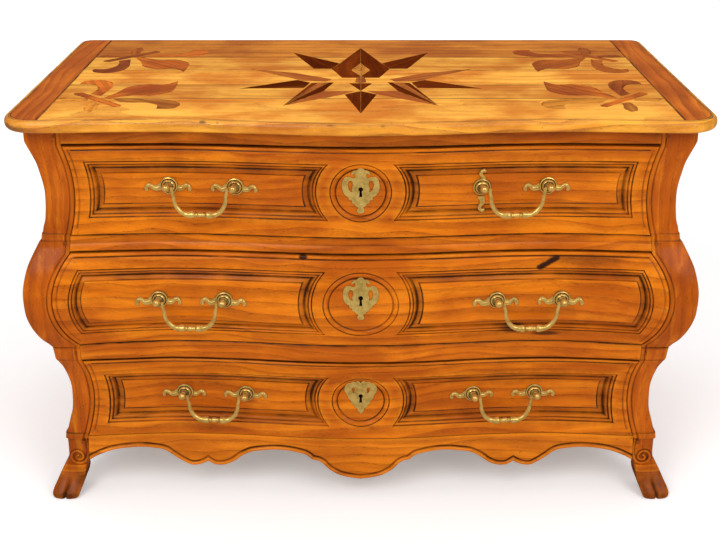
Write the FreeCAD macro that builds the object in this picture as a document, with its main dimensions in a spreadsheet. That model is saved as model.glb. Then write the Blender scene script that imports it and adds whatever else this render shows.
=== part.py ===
import FreeCAD, Part
import math
import os

# Bombe chest of drawers: a walnut and cherry carcass whose front is curved in
# plan (serpentine) and in elevation (bombe), with three drawers, pegged frame
# joints, an inlaid plank top, drop handles and spring-less mortise locks.
# Frame: X to the right, Y to the back, Z up; the floor is Z = 0.

Vec = FreeCAD.Vector
doc = FreeCAD.newDocument("BombeChest")

# ---------------------------------------------------------------- driving sizes

sheet = doc.addObject("Spreadsheet::Sheet", "Sizes")
driving_sizes = [
    ("overall_height", 832),        # floor to the upper face of the top
    ("top_width", 1335),
    ("top_depth", 730),             # corner line to the back edge
    ("top_thickness", 24),
    ("top_end_board", 72),          # width of each board that caps the planks
    ("top_corner_front", 65),       # corner radii of the top in plan
    ("top_corner_back", 30),
    ("top_nose", 11.5),             # rounding of the top's edge
    ("top_bow", 29),                # centre of the top's edge ahead of its hollows
    ("top_hollow", 10),             # hollows of the top's edge behind its corners
    ("top_front", 19),              # the top's front corners ahead of the corner line
    ("corner_line", -346),          # Y of the line that the depths are measured from
    ("front_setback", 35),          # front face behind the corner line, where flat
    ("front_bow", 25.5),            # centre of the front ahead of its hollows
    ("bow_half_width", 380),        # half the width of the centre's bow
    ("lip_gap", 3),                 # gap over each drawer front
    ("slide_gap", 0.6),             # gap under each drawer front and side
    ("drawer_one_top", 773),
    ("drawer_one_base", 590),
    ("drawer_two_top", 557),
    ("drawer_two_base", 367),
    ("drawer_three_top", 325),
    ("drawer_three_base", 141),
    ("rail_back", 100),             # back of the rails, from the corner line
    ("apron_back", 80),
    ("front_post_back", 125),
    ("rear_post_front", 660),
    ("rear_post_back", 718),
    ("post_inner", 545),            # inner faces of the rear posts, from the middle
    ("side_board", 24),             # thickness of the swelled side boards
    ("side_inset", 6),              # side boards behind the posts' faces
    ("back_board", 12),
    ("back_base", 120),             # lower edge of the back boards
    ("back_plank", 172),            # width of each of the four back boards
    ("back_rail", 30),              # thickness of the rails inside the back
    ("bottom_base", 118),
    ("bottom_board", 10),
    ("runner_width", 45),
    ("runner_height", 25),
    ("guide_height", 35),
    ("drawer_half_width", 530),
    ("drawer_side", 14),
    ("drawer_end", 650),            # back of the drawers, from the corner line
    ("drawer_floor", 8),
    ("tenon_thickness", 10),
    ("tenon_length", 28),
    ("peg_radius", 4),
    ("inlay_depth", 3),
    ("panel_sink", 6),              # depth of the sunk moulding round each panel
    ("plate_thickness", 2),
    ("handle_boring", 128),         # between the two posts of one handle
    ("post_reach", 30),             # ball centre ahead of the drawer's face
    ("ball_radius", 6.5),
    ("stud_radius", 3),
    ("pivot_radius", 2.2),
    ("pivot_clearance", 0.08),
    ("bail_half_width", 53),
    ("bail_drop", 53),
    ("lock_width", 110),
    ("lock_thickness", 13),
    ("lock_wall", 2),
    ("bolt_width", 60),
    ("bolt_travel", 9),
]
for row, (alias, value) in enumerate(driving_sizes, start=1):
    sheet.set("A%d" % row, alias.replace("_", " "))
    sheet.set("B%d" % row, str(value))
    sheet.setAlias("B%d" % row, alias)
doc.recompute()


def size(alias):
    return float(getattr(sheet, alias))


corner = size("corner_line")
height = size("overall_height")
top_base = height - size("top_thickness")

drawers = [
    # name, top and base, back of its front from the corner line, roundel centre,
    # radius of the circle that ends its panels, handle centres, keyhole height
    {"name": "upper", "word": "one", "back": 72, "centre": 680, "ring": 85, "handles": (-305, 296),
     "handle_height": 692, "keyhole": 687, "roundel": (60, 60), "plate": (36, 47)},
    {"name": "middle", "word": "two", "back": 56, "centre": 460, "ring": 95, "handles": (-332, 331),
     "handle_height": 469, "keyhole": 476, "roundel": (75, 66), "plate": (35, 43)},
    {"name": "lower", "word": "three", "back": 80, "centre": 225, "ring": 87, "handles": (-300, 295),
     "handle_height": 241, "keyhole": 238, "roundel": (60, 58), "plate": (34, 41)},
]
for drawer in drawers:
    drawer["top"] = size("drawer_%s_top" % drawer["word"])
    drawer["base"] = size("drawer_%s_base" % drawer["word"])

# Half width of the chest's outline at each height: hollow, swelled, hollow, knee.
outline_heights = [
    (90, 617), (111, 615.5), (137, 616), (150, 613.4), (163, 609.5), (183, 604.2), (196, 600.3),
    (210, 598.3), (232, 597), (254, 596.3), (270, 597.9), (286, 600.8), (302, 604), (310, 606.3),
    (318, 609.8), (327, 615), (339, 615.5), (350, 616), (361, 618), (370, 623), (377, 629),
    (385, 634.5), (399, 642), (413, 648.5), (426, 653.3), (438, 656.5), (451, 658), (468, 659.5),
    (485, 659.5), (502, 657), (519, 653.2), (534, 648.6), (550, 641.1), (566, 632.8), (577, 626),
    (582, 621.8), (594, 620.4), (605, 618), (617, 613.6), (635, 611.2), (653, 609.8), (677, 609.2),
    (696, 611), (715, 614), (733, 617), (746, 620.7), (759, 625.3), (771, 630.2), (779, 634),
    (808, 634),
]
# How far the front swells forward at each height, from its place just under the top.
swell_heights = [
    (90, -11.6), (109, -12.5), (149, -18.6), (189, -24.4), (218, -25.3), (247, -22.8), (278, -17),
    (295, -12), (310, -6.5), (318, -2.5), (327, 1), (344, 2.5), (361, 4), (370, 8), (385, 14),
    (399, 18), (419, 21.1), (446, 21.8), (483, 18.2), (519, 10.6), (553, -0.9), (564, -5.4),
    (575, -9), (587, -10.4), (600, -13.7), (623, -16.4), (660, -17.4), (698, -14.6), (737, -7.6),
    (750, -3.9), (766, -0.4), (780, 0), (808, 0),
]
# How far the outer ends of the front sweep forward of its hollows, by height.
end_sweep_heights = [(90, 14), (140, 14), (320, 15), (365, 24), (440, 21), (580, 13), (780, 7), (840, 7)]
# Half width of the drawer opening: an arc past each drawer, by its ends and middle.
opening_arcs = {"one": (563, 550, 563), "two": (559, 602, 565), "three": (568, 550, 561)}


def along(points, at):
    """Height on the smooth curve through the points, level outside them."""
    if at <= points[0][0]:
        return points[0][1]
    if at >= points[-1][0]:
        return points[-1][1]
    last = len(points) - 1
    i = max(k for k in range(last) if points[k][0] <= at)
    (a0, b0), (a1, b1) = points[i], points[i + 1]
    step = a1 - a0

    def slope(k):
        low, high = points[max(k - 1, 0)], points[min(k + 1, last)]
        return (high[1] - low[1]) / (high[0] - low[0])

    u = (at - a0) / step
    return (b0 * (1 + 2 * u) * (1 - u) ** 2 + b1 * u * u * (3 - 2 * u)
            + step * slope(i) * u * (1 - u) ** 2 + step * slope(i + 1) * u * u * (u - 1))


def half_width(z):
    return along(outline_heights, z)


def swell(z):
    return along(swell_heights, z)


def bow(x):
    reach = size("bow_half_width")
    return math.cos(math.pi * x / (2 * reach)) ** 2 if abs(x) < reach else 0.0


def end_sweep(x):
    reach = size("bow_half_width")
    return ((abs(x) - reach) / 200) ** 1.4 if abs(x) > reach else 0.0


def front_y(x, z):
    """Y of the chest's front face at the place x, z."""
    back = size("front_setback") - size("front_bow") * bow(x) - swell(z)
    return corner + back - along(end_sweep_heights, z) * end_sweep(x)


def top_edge_y(x):
    """Y of the top's front edge."""
    hollow = size("top_hollow")
    sweep = min(end_sweep(x) / end_sweep(585), 1.0)
    return corner - size("top_front") + hollow - size("top_bow") * bow(x) - hollow * sweep


def opening_half(z):
    """Half width of the drawer opening at the height z."""
    knots = []
    for drawer in reversed(drawers):
        low, middle, high = opening_arcs[drawer["word"]]
        knots.append((drawer["base"], drawer["top"], low, middle, high))
    if z < knots[0][0]:
        return knots[0][2]
    for base, top, low, middle, high in knots:
        if base <= z <= top:
            u = (z - base) / (top - base)
            straight = low + (high - low) * u
            return straight + (middle - (low + high) / 2) * 4 * u * (1 - u)
    for (b0, t0, l0, m0, h0), (b1, t1, l1, m1, h1) in zip(knots, knots[1:]):
        if t0 < z < b1:
            return h0 + (l1 - h0) * (z - t0) / (b1 - t0)
    return knots[-1][4]


# ---------------------------------------------------------------- small helpers

parts = []


def keep(item, label):
    """Mark a document object as a finished piece of the chest."""
    item.Label = label
    parts.append(item)
    return item


def solid_feature(label, shape):
    """A piece whose shape the code works out from the sheet's sizes."""
    item = doc.addObject("Part::Feature", label)
    item.Shape = shape
    item.Placement = FreeCAD.Placement()
    return item


def block(label, corner_at, extent):
    """A box bound to the sheet: its low corner and its extent are expressions."""
    item = doc.addObject("Part::Box", label)
    for name, words in zip(("Length", "Width", "Height"), extent):
        item.setExpression(name, words)
    for name, words in zip("xyz", corner_at):
        item.setExpression("Placement.Base." + name, words)
    return item


def box_shape(x0, x1, y0, y1, z0, z1):
    return Part.makeBox(x1 - x0, y1 - y0, z1 - z0, Vec(x0, y0, z0))


def face_of(edges):
    return Part.Face(Part.Wire(Part.__sortEdges__(edges)))


def curve_through(points):
    curve = Part.BSplineCurve()
    curve.interpolate(points)
    return curve.toShape()


def mirror_of(label, source, normal=(1, 0, 0)):
    item = doc.addObject("Part::Mirroring", label)
    item.Source = source
    item.Normal = normal
    return item


def boolean(kind, label, base, tool):
    item = doc.addObject("Part::" + kind, label)
    item.Base = base
    item.Tool = tool
    return item


def prism_y(face, y0, y1):
    """A face in the XZ plane pushed from y0 to y1."""
    moved = face.copy()
    moved.translate(Vec(0, y0, 0))
    return moved.extrude(Vec(0, y1 - y0, 0))


# ---------------------------------------------------------------- front form

def front_form_shape():
    """A thick solid whose front is the curved face that all front pieces share."""
    columns = [-640 + 40 * i for i in range(33)]
    rows = [35 + 25 * i for i in range(33)]
    grid = [[Vec(x, front_y(x, z), z) for z in rows] for x in columns]
    surface = Part.BSplineSurface()
    surface.interpolate(grid)
    return surface.toShape().extrude(Vec(0, 240, 0))


front_form = solid_feature("front_form", front_form_shape())
front_solid = front_form.Shape


def moved_form(dy):
    form = front_solid.copy()
    form.translate(Vec(0, dy, 0))
    return form


def opening_edges(side, grow=0.0):
    """Edges of the drawer opening's end, from the floor to the top, in XZ."""
    edges = []
    last = Vec(side * (opening_half(0) + grow), 0, 0)
    for drawer in reversed(drawers):
        low, middle, high = (side * (v + grow) for v in opening_arcs[drawer["word"]])
        base, top = drawer["base"], drawer["top"]
        first = Vec(low, 0, base)
        edges.append(Part.makeLine(last, first))
        last = Vec(high, 0, top)
        edges.append(Part.Arc(first, Vec(middle, 0, (base + top) / 2), last).toShape())
    end = Vec(last.x, 0, top_base)
    edges.append(Part.makeLine(last, end))
    return edges, end


def opening_shape():
    """Everything between the two front posts, as one long block."""
    left, left_end = opening_edges(-1, 1.0)
    right, right_end = opening_edges(1, 1.0)
    closing = [Part.makeLine(left_end, right_end), Part.makeLine(left[0].Vertexes[0].Point,
                                                                 right[0].Vertexes[0].Point)]
    return prism_y(face_of(left + right + closing), corner - 120, corner + 200)


opening = solid_feature("drawer_opening", opening_shape())


def drawer_face(drawer):
    """Outline of one drawer front, in XZ."""
    low, middle, high = opening_arcs[drawer["word"]]
    base, top = drawer["base"], drawer["top"]
    mid = (base + top) / 2
    right = Part.Arc(Vec(low, 0, base), Vec(middle, 0, mid), Vec(high, 0, top)).toShape()
    left = Part.Arc(Vec(-low, 0, base), Vec(-middle, 0, mid), Vec(-high, 0, top)).toShape()
    return face_of([right, left, Part.makeLine(Vec(-low, 0, base), Vec(low, 0, base)),
                    Part.makeLine(Vec(-high, 0, top), Vec(high, 0, top))])


# ---------------------------------------------------------------- posts and feet

# Leg and foot below the apron: height, inner and outer X, front and back Y.
front_leg = [
    (105, 545, 616, 48, 125),
    (84, 574, 618, 49, 124),
    (66, 581, 627, 54, 110),
    (48, 583, 636, 46, 104),
    (30, 587, 645, 36, 98),
    (14, 594, 653, 24, 92),
    (4, 598, 651, 19, 90),
    (0, 604, 644, 22, 86),
]
rear_leg = [
    (105, 541, 617, 657, 721),
    (70, 572, 617, 662, 717),
    (40, 586, 624, 662, 716),
    (14, 592, 632, 658, 718),
    (0, 598, 628, 661, 715),
]


def plan_wire(points, z):
    return Part.makePolygon([Vec(x, corner + y, z) for x, y in points + points[:1]])


def front_post_raw():
    """The post with its frontal face, knee and foot, before the rails are let in."""
    sections = []
    for z, inner, outer, front, back in reversed(front_leg):
        sections.append(plan_wire([(inner, front), (inner + 8, front - 1), (outer - 6, front + 1),
                                   (outer, front + 8), (outer - 2, back), (inner, back)], z))
    for z in (128, 150, 175, 200, 225, 250, 278, 300, 325, 345, 365, 390, 420, 450, 480, 510, 535,
              557, 575, 590, 615, 650, 690, 725, 755, 780, 808):
        edge = opening_half(z)
        face = front_y(edge, z) - corner
        outer = half_width(z)
        sections.append(plan_wire([(535, face - 1), (edge + 9, face - 2), (outer - 7, face + 1),
                                   (outer, face + 9), (outer - 3, 125), (535, 125)], z))
    back = corner + size("front_post_back")
    return Part.makeLoft(sections, True, False).cut(box_shape(500, 700, back, back + 50, 0, height))


def rear_post_raw():
    sections = []
    for z, inner, outer, front, back in reversed(rear_leg):
        sections.append(plan_wire([(inner, front), (outer, front), (outer, back), (inner, back)], z))
    for z in (128, 150, 200, 250, 300, 345, 390, 420, 450, 480, 535, 575, 615, 650, 690, 725, 755, 808):
        outer = half_width(z)
        low, high = size("rear_post_front") - 4, size("rear_post_back") + 4
        sections.append(plan_wire([(538, low), (outer, low), (outer, high), (538, high)], z))
    inner, front, back = size("post_inner"), corner + size("rear_post_front"), corner + size("rear_post_back")
    planed = [box_shape(inner - 40, inner, front - 40, back + 40, 0, height),
              box_shape(500, 700, back, back + 40, 0, height),
              box_shape(500, 700, front - 40, front, 85, height)]
    return Part.makeLoft(sections, True, False).cut(planed)


def volute():
    """The scroll carved at the knee: a round boss with a raised spiral ring."""
    centre = Vec(597, corner + 52, 90)
    boss = Part.makeCylinder(14, 16, centre + Vec(0, 10, 0), Vec(0, -1, 0))
    ring = Part.makeTorus(14, 3, centre + Vec(0, -5, 0), Vec(0, 1, 0))
    return boss.fuse(ring)


rails = [
    # name, low and high, back from the corner line
    ("top_rail", size("drawer_one_top") + size("lip_gap"), top_base, size("rail_back")),
    ("divider_rail_upper", size("drawer_two_top") + size("lip_gap"),
     size("drawer_one_base") - size("slide_gap"), size("rail_back")),
    ("divider_rail_lower", size("drawer_three_top") + size("lip_gap"),
     size("drawer_two_base") - size("slide_gap"), size("rail_back")),
]
apron_top = size("drawer_three_base") - size("slide_gap")


def tenon(side, z0, z1, back):
    """The tongue at one end of a rail, let into its post."""
    inner, deep = 540, 556 + size("tenon_length")
    y1 = corner + back - 12
    y0 = y1 - size("tenon_thickness")
    low, high = sorted((side * inner, side * deep))
    return box_shape(low, high, y0, y1, z0 + 4, z1 - 4)


tenons = [(side, tenon(side, z0, z1, back)) for name, z0, z1, back in rails for side in (-1, 1)]
tenons += [(side, tenon(side, 88, apron_top, size("apron_back"))) for side in (-1, 1)]

peg_places = [(575, 792), (575, 575), (573, 347), (579, 128), (579, 104)]


def peg(side, x, z):
    centre = Vec(side * x, corner - 60, z)
    return Part.makeCylinder(size("peg_radius"), 60 + 95, centre, Vec(0, 1, 0))


post_raw = front_post_raw().fuse(volute())
post_face_back = post_raw.copy()
post_face_back.translate(Vec(0, -0.4, 0))


def mirrored(shape):
    return shape.mirror(Vec(0, 0, 0), Vec(1, 0, 0))


pegs = {1: [peg(1, x, z).common(post_face_back) for x, z in peg_places]}
pegs[-1] = [mirrored(p) for p in pegs[1]]

right_tenons = [shape for side, shape in tenons if side == 1]
post_right_shape = post_raw.cut([opening.Shape] + right_tenons + pegs[1])
post_right = keep(solid_feature("post_front_right_shape", post_right_shape), "post_front_right")
keep(mirror_of("post_front_left_mirror", post_right), "post_front_left")
rear_right = keep(solid_feature("post_rear_right_shape", rear_post_raw()), "post_rear_right")
keep(mirror_of("post_rear_left_mirror", rear_right), "post_rear_left")

# ---------------------------------------------------------------- rails and apron

for name, z0, z1, back in rails:
    band = solid_feature(name + "_band", box_shape(-600, 600, corner - 100, corner + back, z0, z1))
    within = boolean("Common", name + "_between_posts", opening, band)
    faced = boolean("Common", name + "_faced", within, front_form)
    doc.recompute()
    tools = [shape for side, shape in tenons if abs(shape.BoundBox.ZMin - z0 - 4) < 0.01]
    body = faced.Shape.fuse(tools)
    for drawer in drawers:
        if z0 > drawer["top"] and z0 - drawer["top"] < 5:
            y1 = corner + drawer["back"]
            notch = box_shape(-40, 40, y1 - size("lock_thickness") - 1, y1 + 1, z0 - 1,
                              z0 + size("bolt_travel") + 3)
            body = body.cut(notch)
    body = body.cut(pegs[1] + pegs[-1])
    keep(solid_feature(name + "_shape", body), name)


def apron_edge():
    """Lower edge of the apron from the middle to the right post: lobe, cusps, arches."""
    lobe = [(0, 48), (22, 51), (45, 57), (64, 68), (80, 84)]
    shoulder = [(80, 84), (88, 89), (102, 92)]
    arch = [(102, 92), (114, 102), (132, 107), (168, 111), (204, 108), (232, 102), (250, 92),
            (266, 79), (288, 69), (308, 69), (322, 77)]
    outer = [(322, 77), (338, 69), (358, 67), (374, 75), (392, 88), (410, 102), (438, 109), (488, 111),
             (524, 106), (550, 97), (572, 85)]
    return [lobe, shoulder, arch, outer]


def apron_shape():
    edges = []
    for side in (-1, 1):
        for run in apron_edge():
            edges.append(curve_through([Vec(side * x, 0, z) for x, z in run]))
    ends = opening_half(100) + 1
    for side in (-1, 1):
        edges.append(Part.makeLine(Vec(side * 572, 0, 85), Vec(side * 572, 0, apron_top)))
    edges.append(Part.makeLine(Vec(-572, 0, apron_top), Vec(572, 0, apron_top)))
    outline = prism_y(face_of(edges), corner - 60, corner + size("apron_back"))
    between = box_shape(-ends, ends, corner - 60, corner + 200, 0, apron_top)
    body = outline.common(between).common(front_solid)
    return body.fuse([shape for side, shape in tenons[-2:]]).cut(pegs[1] + pegs[-1])


keep(solid_feature("apron_front_shape", apron_shape()), "apron_front")

# ---------------------------------------------------------------- sides and back

def side_board_shape():
    """A swelled side board between the posts, with a shaped lower edge."""
    inset, thick = size("side_inset"), size("side_board")
    levels = [150 + (808 - 150) * i / 20 for i in range(21)]
    outer = [Vec(half_width(z) - inset, 0, z) for z in levels]
    inner = [Vec(half_width(z) - inset - thick, 0, z) for z in levels]
    face = face_of([curve_through(outer), curve_through(inner), Part.makeLine(outer[0], inner[0]),
                    Part.makeLine(outer[-1], inner[-1])])
    return prism_y(face, corner + size("front_post_back"), corner + size("rear_post_front"))


def side_apron_shape():
    """The rail under the side board: level above, two arches and a pendant below."""
    inset = size("side_inset")
    levels = [90 + 60 * i / 6 for i in range(7)]
    outer = [Vec(half_width(z) - inset + 2, 0, z) for z in levels]
    inner = [Vec(590, 0, 90), Vec(590, 0, 150)]
    face = face_of([curve_through(outer), Part.makeLine(*inner), Part.makeLine(outer[0], inner[0]),
                    Part.makeLine(outer[-1], inner[1])])
    y0, y1 = corner + size("front_post_back"), corner + size("rear_post_front")
    middle = (y0 + y1) / 2
    body = prism_y(face, y0, y1)
    edge = [(y0, 96), (y0 + 40, 112), (y0 + 110, 118), (middle - 60, 112), (middle - 30, 98),
            (middle, 93), (middle + 30, 98), (middle + 60, 112), (y1 - 110, 118), (y1 - 40, 112), (y1, 96)]
    curve = curve_through([Vec(560, y, z) for y, z in edge])
    below = face_of([curve, Part.makeLine(Vec(560, y0, 96), Vec(560, y0, 60)),
                     Part.makeLine(Vec(560, y0, 60), Vec(560, y1, 60)),
                     Part.makeLine(Vec(560, y1, 60), Vec(560, y1, 96))])
    return body.cut(below.extrude(Vec(100, 0, 0)))


side_right = keep(solid_feature("side_panel_right_shape", side_board_shape()), "side_panel_right")
keep(mirror_of("side_panel_left_mirror", side_right), "side_panel_left")
side_low = keep(solid_feature("side_apron_right_shape", side_apron_shape()), "side_apron_right")
keep(mirror_of("side_apron_left_mirror", side_low), "side_apron_left")


def group(label, items):
    item = doc.addObject("Part::Compound", label)
    item.Links = items
    return keep(item, label)


back_y = "Sizes.corner_line + Sizes.rear_post_back - Sizes.back_board"
back_items = []
for number in range(4):
    low = "Sizes.back_base + %d * Sizes.back_plank" % number
    back_items.append(block("back_plank_%d" % (number + 1), ("-Sizes.post_inner", back_y, low),
                            ("2 * Sizes.post_inner", "Sizes.back_board", "Sizes.back_plank")))
group("back_boards", back_items)
back_rail_y = back_y + " - Sizes.back_rail"
group("back_rails", [
    block("back_rail_" + word, ("-Sizes.post_inner", back_rail_y, low),
          ("2 * Sizes.post_inner", "Sizes.back_rail", tall))
    for word, low, tall in (("high", "770", "38"), ("low", "105", "45"))])

# ---------------------------------------------------------------- inside the carcass

runner_items, guide_items = [], []
for drawer in drawers:
    word = drawer["word"]
    start = "Sizes.apron_back" if word == "three" else "Sizes.rail_back"
    stop = "Sizes.rear_post_back - Sizes.back_board"
    if word == "three":
        stop += " - Sizes.back_rail"
    top = "Sizes.drawer_%s_base - Sizes.slide_gap" % word
    for side, low in (("left", "-Sizes.post_inner"), ("right", "Sizes.post_inner - Sizes.runner_width")):
        runner_items.append(block("runner_%s_%s" % (word, side),
                                  (low, "Sizes.corner_line + " + start, top + " - Sizes.runner_height"),
                                  ("Sizes.runner_width", "%s - %s" % (stop, start), "Sizes.runner_height")))
        low = "-Sizes.post_inner" if side == "left" else "Sizes.drawer_half_width + 1"
        guide_items.append(block("guide_%s_%s" % (word, side), (low, "Sizes.corner_line + " + start, top),
                                 ("Sizes.post_inner - Sizes.drawer_half_width - 1",
                                  "%s - %s" % (stop, start), "Sizes.guide_height")))
group("drawer_runners", runner_items)
group("drawer_guides", guide_items)
keep(block("bottom_board_box",
           ("-Sizes.post_inner + Sizes.runner_width", "Sizes.corner_line + Sizes.apron_back",
            "Sizes.bottom_base"),
           ("2 * (Sizes.post_inner - Sizes.runner_width)",
            "Sizes.rear_post_back - Sizes.back_board - Sizes.back_rail - Sizes.apron_back",
            "Sizes.bottom_board")), "bottom_board")
keep(solid_feature("joint_pegs_shape", Part.Compound(pegs[1] + pegs[-1])), "joint_pegs")

# ---------------------------------------------------------------- top and its inlays

def top_raw():
    """The whole top with its curved front edge, rounded corners and rounded nose."""
    half = size("top_width") / 2
    front_r, back_r = size("top_corner_front"), size("top_corner_back")
    back = corner + size("top_depth")
    turn = half - front_r
    start = top_edge_y(turn)
    run = [Vec(x, top_edge_y(x), top_base) for x in
           [-turn + 2 * turn * i / 28 for i in range(29)]]
    curve = Part.BSplineCurve()
    curve.interpolate(Points=run, InitialTangent=Vec(1, 0, 0), FinalTangent=Vec(1, 0, 0))
    edges = [curve.toShape()]
    quarter = math.sqrt(0.5)
    for side in (-1, 1):
        centre = Vec(side * turn, start + front_r, top_base)
        middle = centre + Vec(side * front_r * quarter, -front_r * quarter, 0)
        edges.append(Part.Arc(Vec(side * turn, start, top_base), middle,
                              Vec(side * half, start + front_r, top_base)).toShape())
        far = Vec(side * (half - back_r), back - back_r, top_base)
        middle = far + Vec(side * back_r * quarter, back_r * quarter, 0)
        edges.append(Part.makeLine(Vec(side * half, start + front_r, top_base),
                                   Vec(side * half, back - back_r, top_base)))
        edges.append(Part.Arc(Vec(side * half, back - back_r, top_base), middle,
                              Vec(side * (half - back_r), back, top_base)).toShape())
    edges.append(Part.makeLine(Vec(-half + back_r, back, top_base), Vec(half - back_r, back, top_base)))
    slab = face_of(edges).extrude(Vec(0, 0, size("top_thickness")))
    rims = [e for e in slab.Edges if abs(e.BoundBox.ZMax - e.BoundBox.ZMin) < 0.01]
    return slab.makeFillet(size("top_nose"), rims)


top_whole = solid_feature("top_whole", top_raw())
top_skin = height - size("inlay_depth")


def inlay_solid(face):
    face = face.copy()
    face.translate(Vec(0, corner, top_skin))
    return face.extrude(Vec(0, 0, size("inlay_depth")))


def inlay_polygon(points):
    ring = [Vec(x, y, 0) for x, y in points]
    return inlay_solid(Part.Face(Part.makePolygon(ring + ring[:1])))


def both(points):
    return [points, [(-x, y) for x, y in points]]


# Ten-pointed star in the middle of the top, Y from the corner line, right half.
star_dark = (both([(0, 627), (46, 466), (63, 413), (39, 329), (9, 329), (0, 346), (20, 400), (0, 466)])
             + both([(154, 577), (101, 413), (63, 413), (46, 466)])
             + both([(246, 235), (132, 310), (104, 287), (115, 241)])
             + both([(0, 40), (32, 187), (0, 214)])
             + both([(0, 215), (24, 281), (0, 281)])
             + both([(149, 99), (101, 283), (87, 287)])
             + both([(149, 99), (75, 212), (55, 288), (65, 288)]))
star_light = (both([(239, 411), (138, 373), (59, 316), (71, 295), (120, 302)])
              + both([(149, 99), (87, 287), (65, 288)])
              + both([(149, 99), (33, 187), (12, 218), (75, 212)])
              + both([(0, 282), (12, 289), (9, 329), (0, 346)]))

# Lily of the front left corner; the other three are its mirror images.
lily_blade = ([(-504, 162), (-485, 204), (-472, 247), (-438, 273), (-402, 270), (-378, 300)],
              [(-378, 300), (-375, 255), (-379, 210), (-408, 180), (-452, 178), (-494, 151)])
lily_inner_petal = ([(-513, 174), (-507, 212), (-504, 255), (-517, 296), (-545, 311), (-570, 300),
                     (-576, 271)], [(-576, 271), (-552, 271), (-533, 245), (-532, 210), (-537, 190)])
lily_outer_petal = ([(-485, 154), (-436, 152), (-385, 148), (-357, 133), (-347, 107), (-357, 78),
                     (-389, 76)], [(-389, 76), (-393, 105), (-410, 119), (-446, 122), (-468, 125)])
lily_bar = [(-570, 198), (-556, 203), (-459, 103), (-459, 93), (-469, 87), (-570, 188)]
lily_tail_front = ([(-519, 127), (-527, 97), (-519, 58), (-509, 52)], [(-509, 52), (-500, 77),
                                                                      (-503, 109), (-501, 115)])
lily_tail_side = ([(-535, 154), (-560, 159), (-588, 150)], [(-588, 150), (-580, 135), (-556, 135),
                                                           (-531, 139)])


def lily_pieces(sx, back):
    """One lily: its bar, and the other pieces fitted against the bar."""
    def place(x, y):
        return Vec(sx * x, 682 - y if back else y, 0)

    ring = [place(x, y) for x, y in lily_bar]
    bar = Part.Face(Part.makePolygon(ring + ring[:1]))
    faces = []
    for run_a, run_b in (lily_blade, lily_inner_petal, lily_outer_petal, lily_tail_front,
                         lily_tail_side):
        edges = [curve_through([place(x, y) for x, y in run_a]),
                 curve_through([place(x, y) for x, y in run_b])]
        if run_b[-1] != run_a[0]:
            edges.append(Part.makeLine(place(*run_b[-1]), place(*run_a[0])))
        faces.append(face_of(edges))
    return [inlay_solid(bar)] + [inlay_solid(face.cut(bar).Faces[0]) for face in faces]


dark_solids = [inlay_polygon(points) for points in star_dark]
light_solids = [inlay_polygon(points) for points in star_light]
lily_solids = []
for sx in (1, -1):
    for back in (False, True):
        lily_solids += lily_pieces(sx, back)
field_half = size("top_width") / 2 - size("top_end_board")
plank_joints = [-60, 154, 268, 401, 527, size("top_depth") + 10]
inlays = dark_solids + light_solids + lily_solids
planks = []
for low, high in zip(plank_joints, plank_joints[1:]):
    strip = box_shape(-field_half, field_half, corner + low, corner + high, top_base - 1, height + 1)
    plank = top_whole.Shape.common(strip)
    near = [s for s in inlays if s.BoundBox.YMax > corner + low and s.BoundBox.YMin < corner + high]
    planks.append(plank.cut(near))
keep(solid_feature("top_planks_shape", Part.Compound(planks)), "top_planks")
for side, low, high in (("left", -700, -field_half), ("right", field_half, 700)):
    cap = solid_feature("cap_%s_band" % side, box_shape(low, high, corner - 60, corner + 800,
                                                         top_base - 1, height + 1))
    keep(boolean("Common", "top_end_%s_common" % side, top_whole, cap), "top_end_" + side)
keep(solid_feature("star_inlay_dark_shape", Part.Compound(dark_solids)), "star_inlay_dark")
keep(solid_feature("star_inlay_light_shape", Part.Compound(light_solids)), "star_inlay_light")
keep(solid_feature("lily_inlays_shape", Part.Compound(lily_solids)), "lily_inlays")

# ---------------------------------------------------------------- drawers

def ring_crossing(radius, centre, z):
    """X where the circle round the roundel meets the level z."""
    return math.sqrt(radius ** 2 - (z - centre) ** 2)


def panel_face(drawer, low, high, ends, radius, side):
    """A panel outline: level above and below, curved at both ends."""
    centre = drawer["centre"]
    middle = (low + high) / 2
    a = Vec(side * ring_crossing(radius, centre, low), 0, low)
    b = Vec(side * ring_crossing(radius, centre, high), 0, high)
    c = Vec(side * ends[2], 0, high)
    d = Vec(side * ends[0], 0, low)
    inner = Part.Arc(a, Vec(side * radius, 0, centre), b).toShape()
    outer = Part.Arc(c, Vec(side * ends[1], 0, middle), d).toShape()
    return face_of([inner, Part.makeLine(b, c), outer, Part.makeLine(d, a)])


panel_outlines = {
    # outer low and high, outer end at low, middle, high; the same for the field
    "one": ((622, 739), (528, 522, 528), (652, 712), (495, 491, 495)),
    "two": ((395, 526), (552, 573, 552), (420, 502), (534, 546, 538)),
    "three": ((167, 283), (528, 521, 526), (200, 265), (490, 487, 490)),
}
sunk_skin = front_solid.cut(moved_form(size("panel_sink")))
ring_skin = front_solid.cut(moved_form(4.0))
plate_skin = moved_form(-size("plate_thickness")).cut(front_solid)


def roundel_face(drawer, shrink):
    wide, tall = drawer["roundel"]
    wide, tall = wide - shrink, tall - shrink
    ellipse = Part.Ellipse(Vec(0, 0, 0), max(wide, tall + 0.01), tall)
    face = Part.Face(Part.Wire(ellipse.toShape()))
    face.rotate(Vec(0, 0, 0), Vec(1, 0, 0), 90)
    face.translate(Vec(0, 0, drawer["centre"]))
    return face


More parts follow.
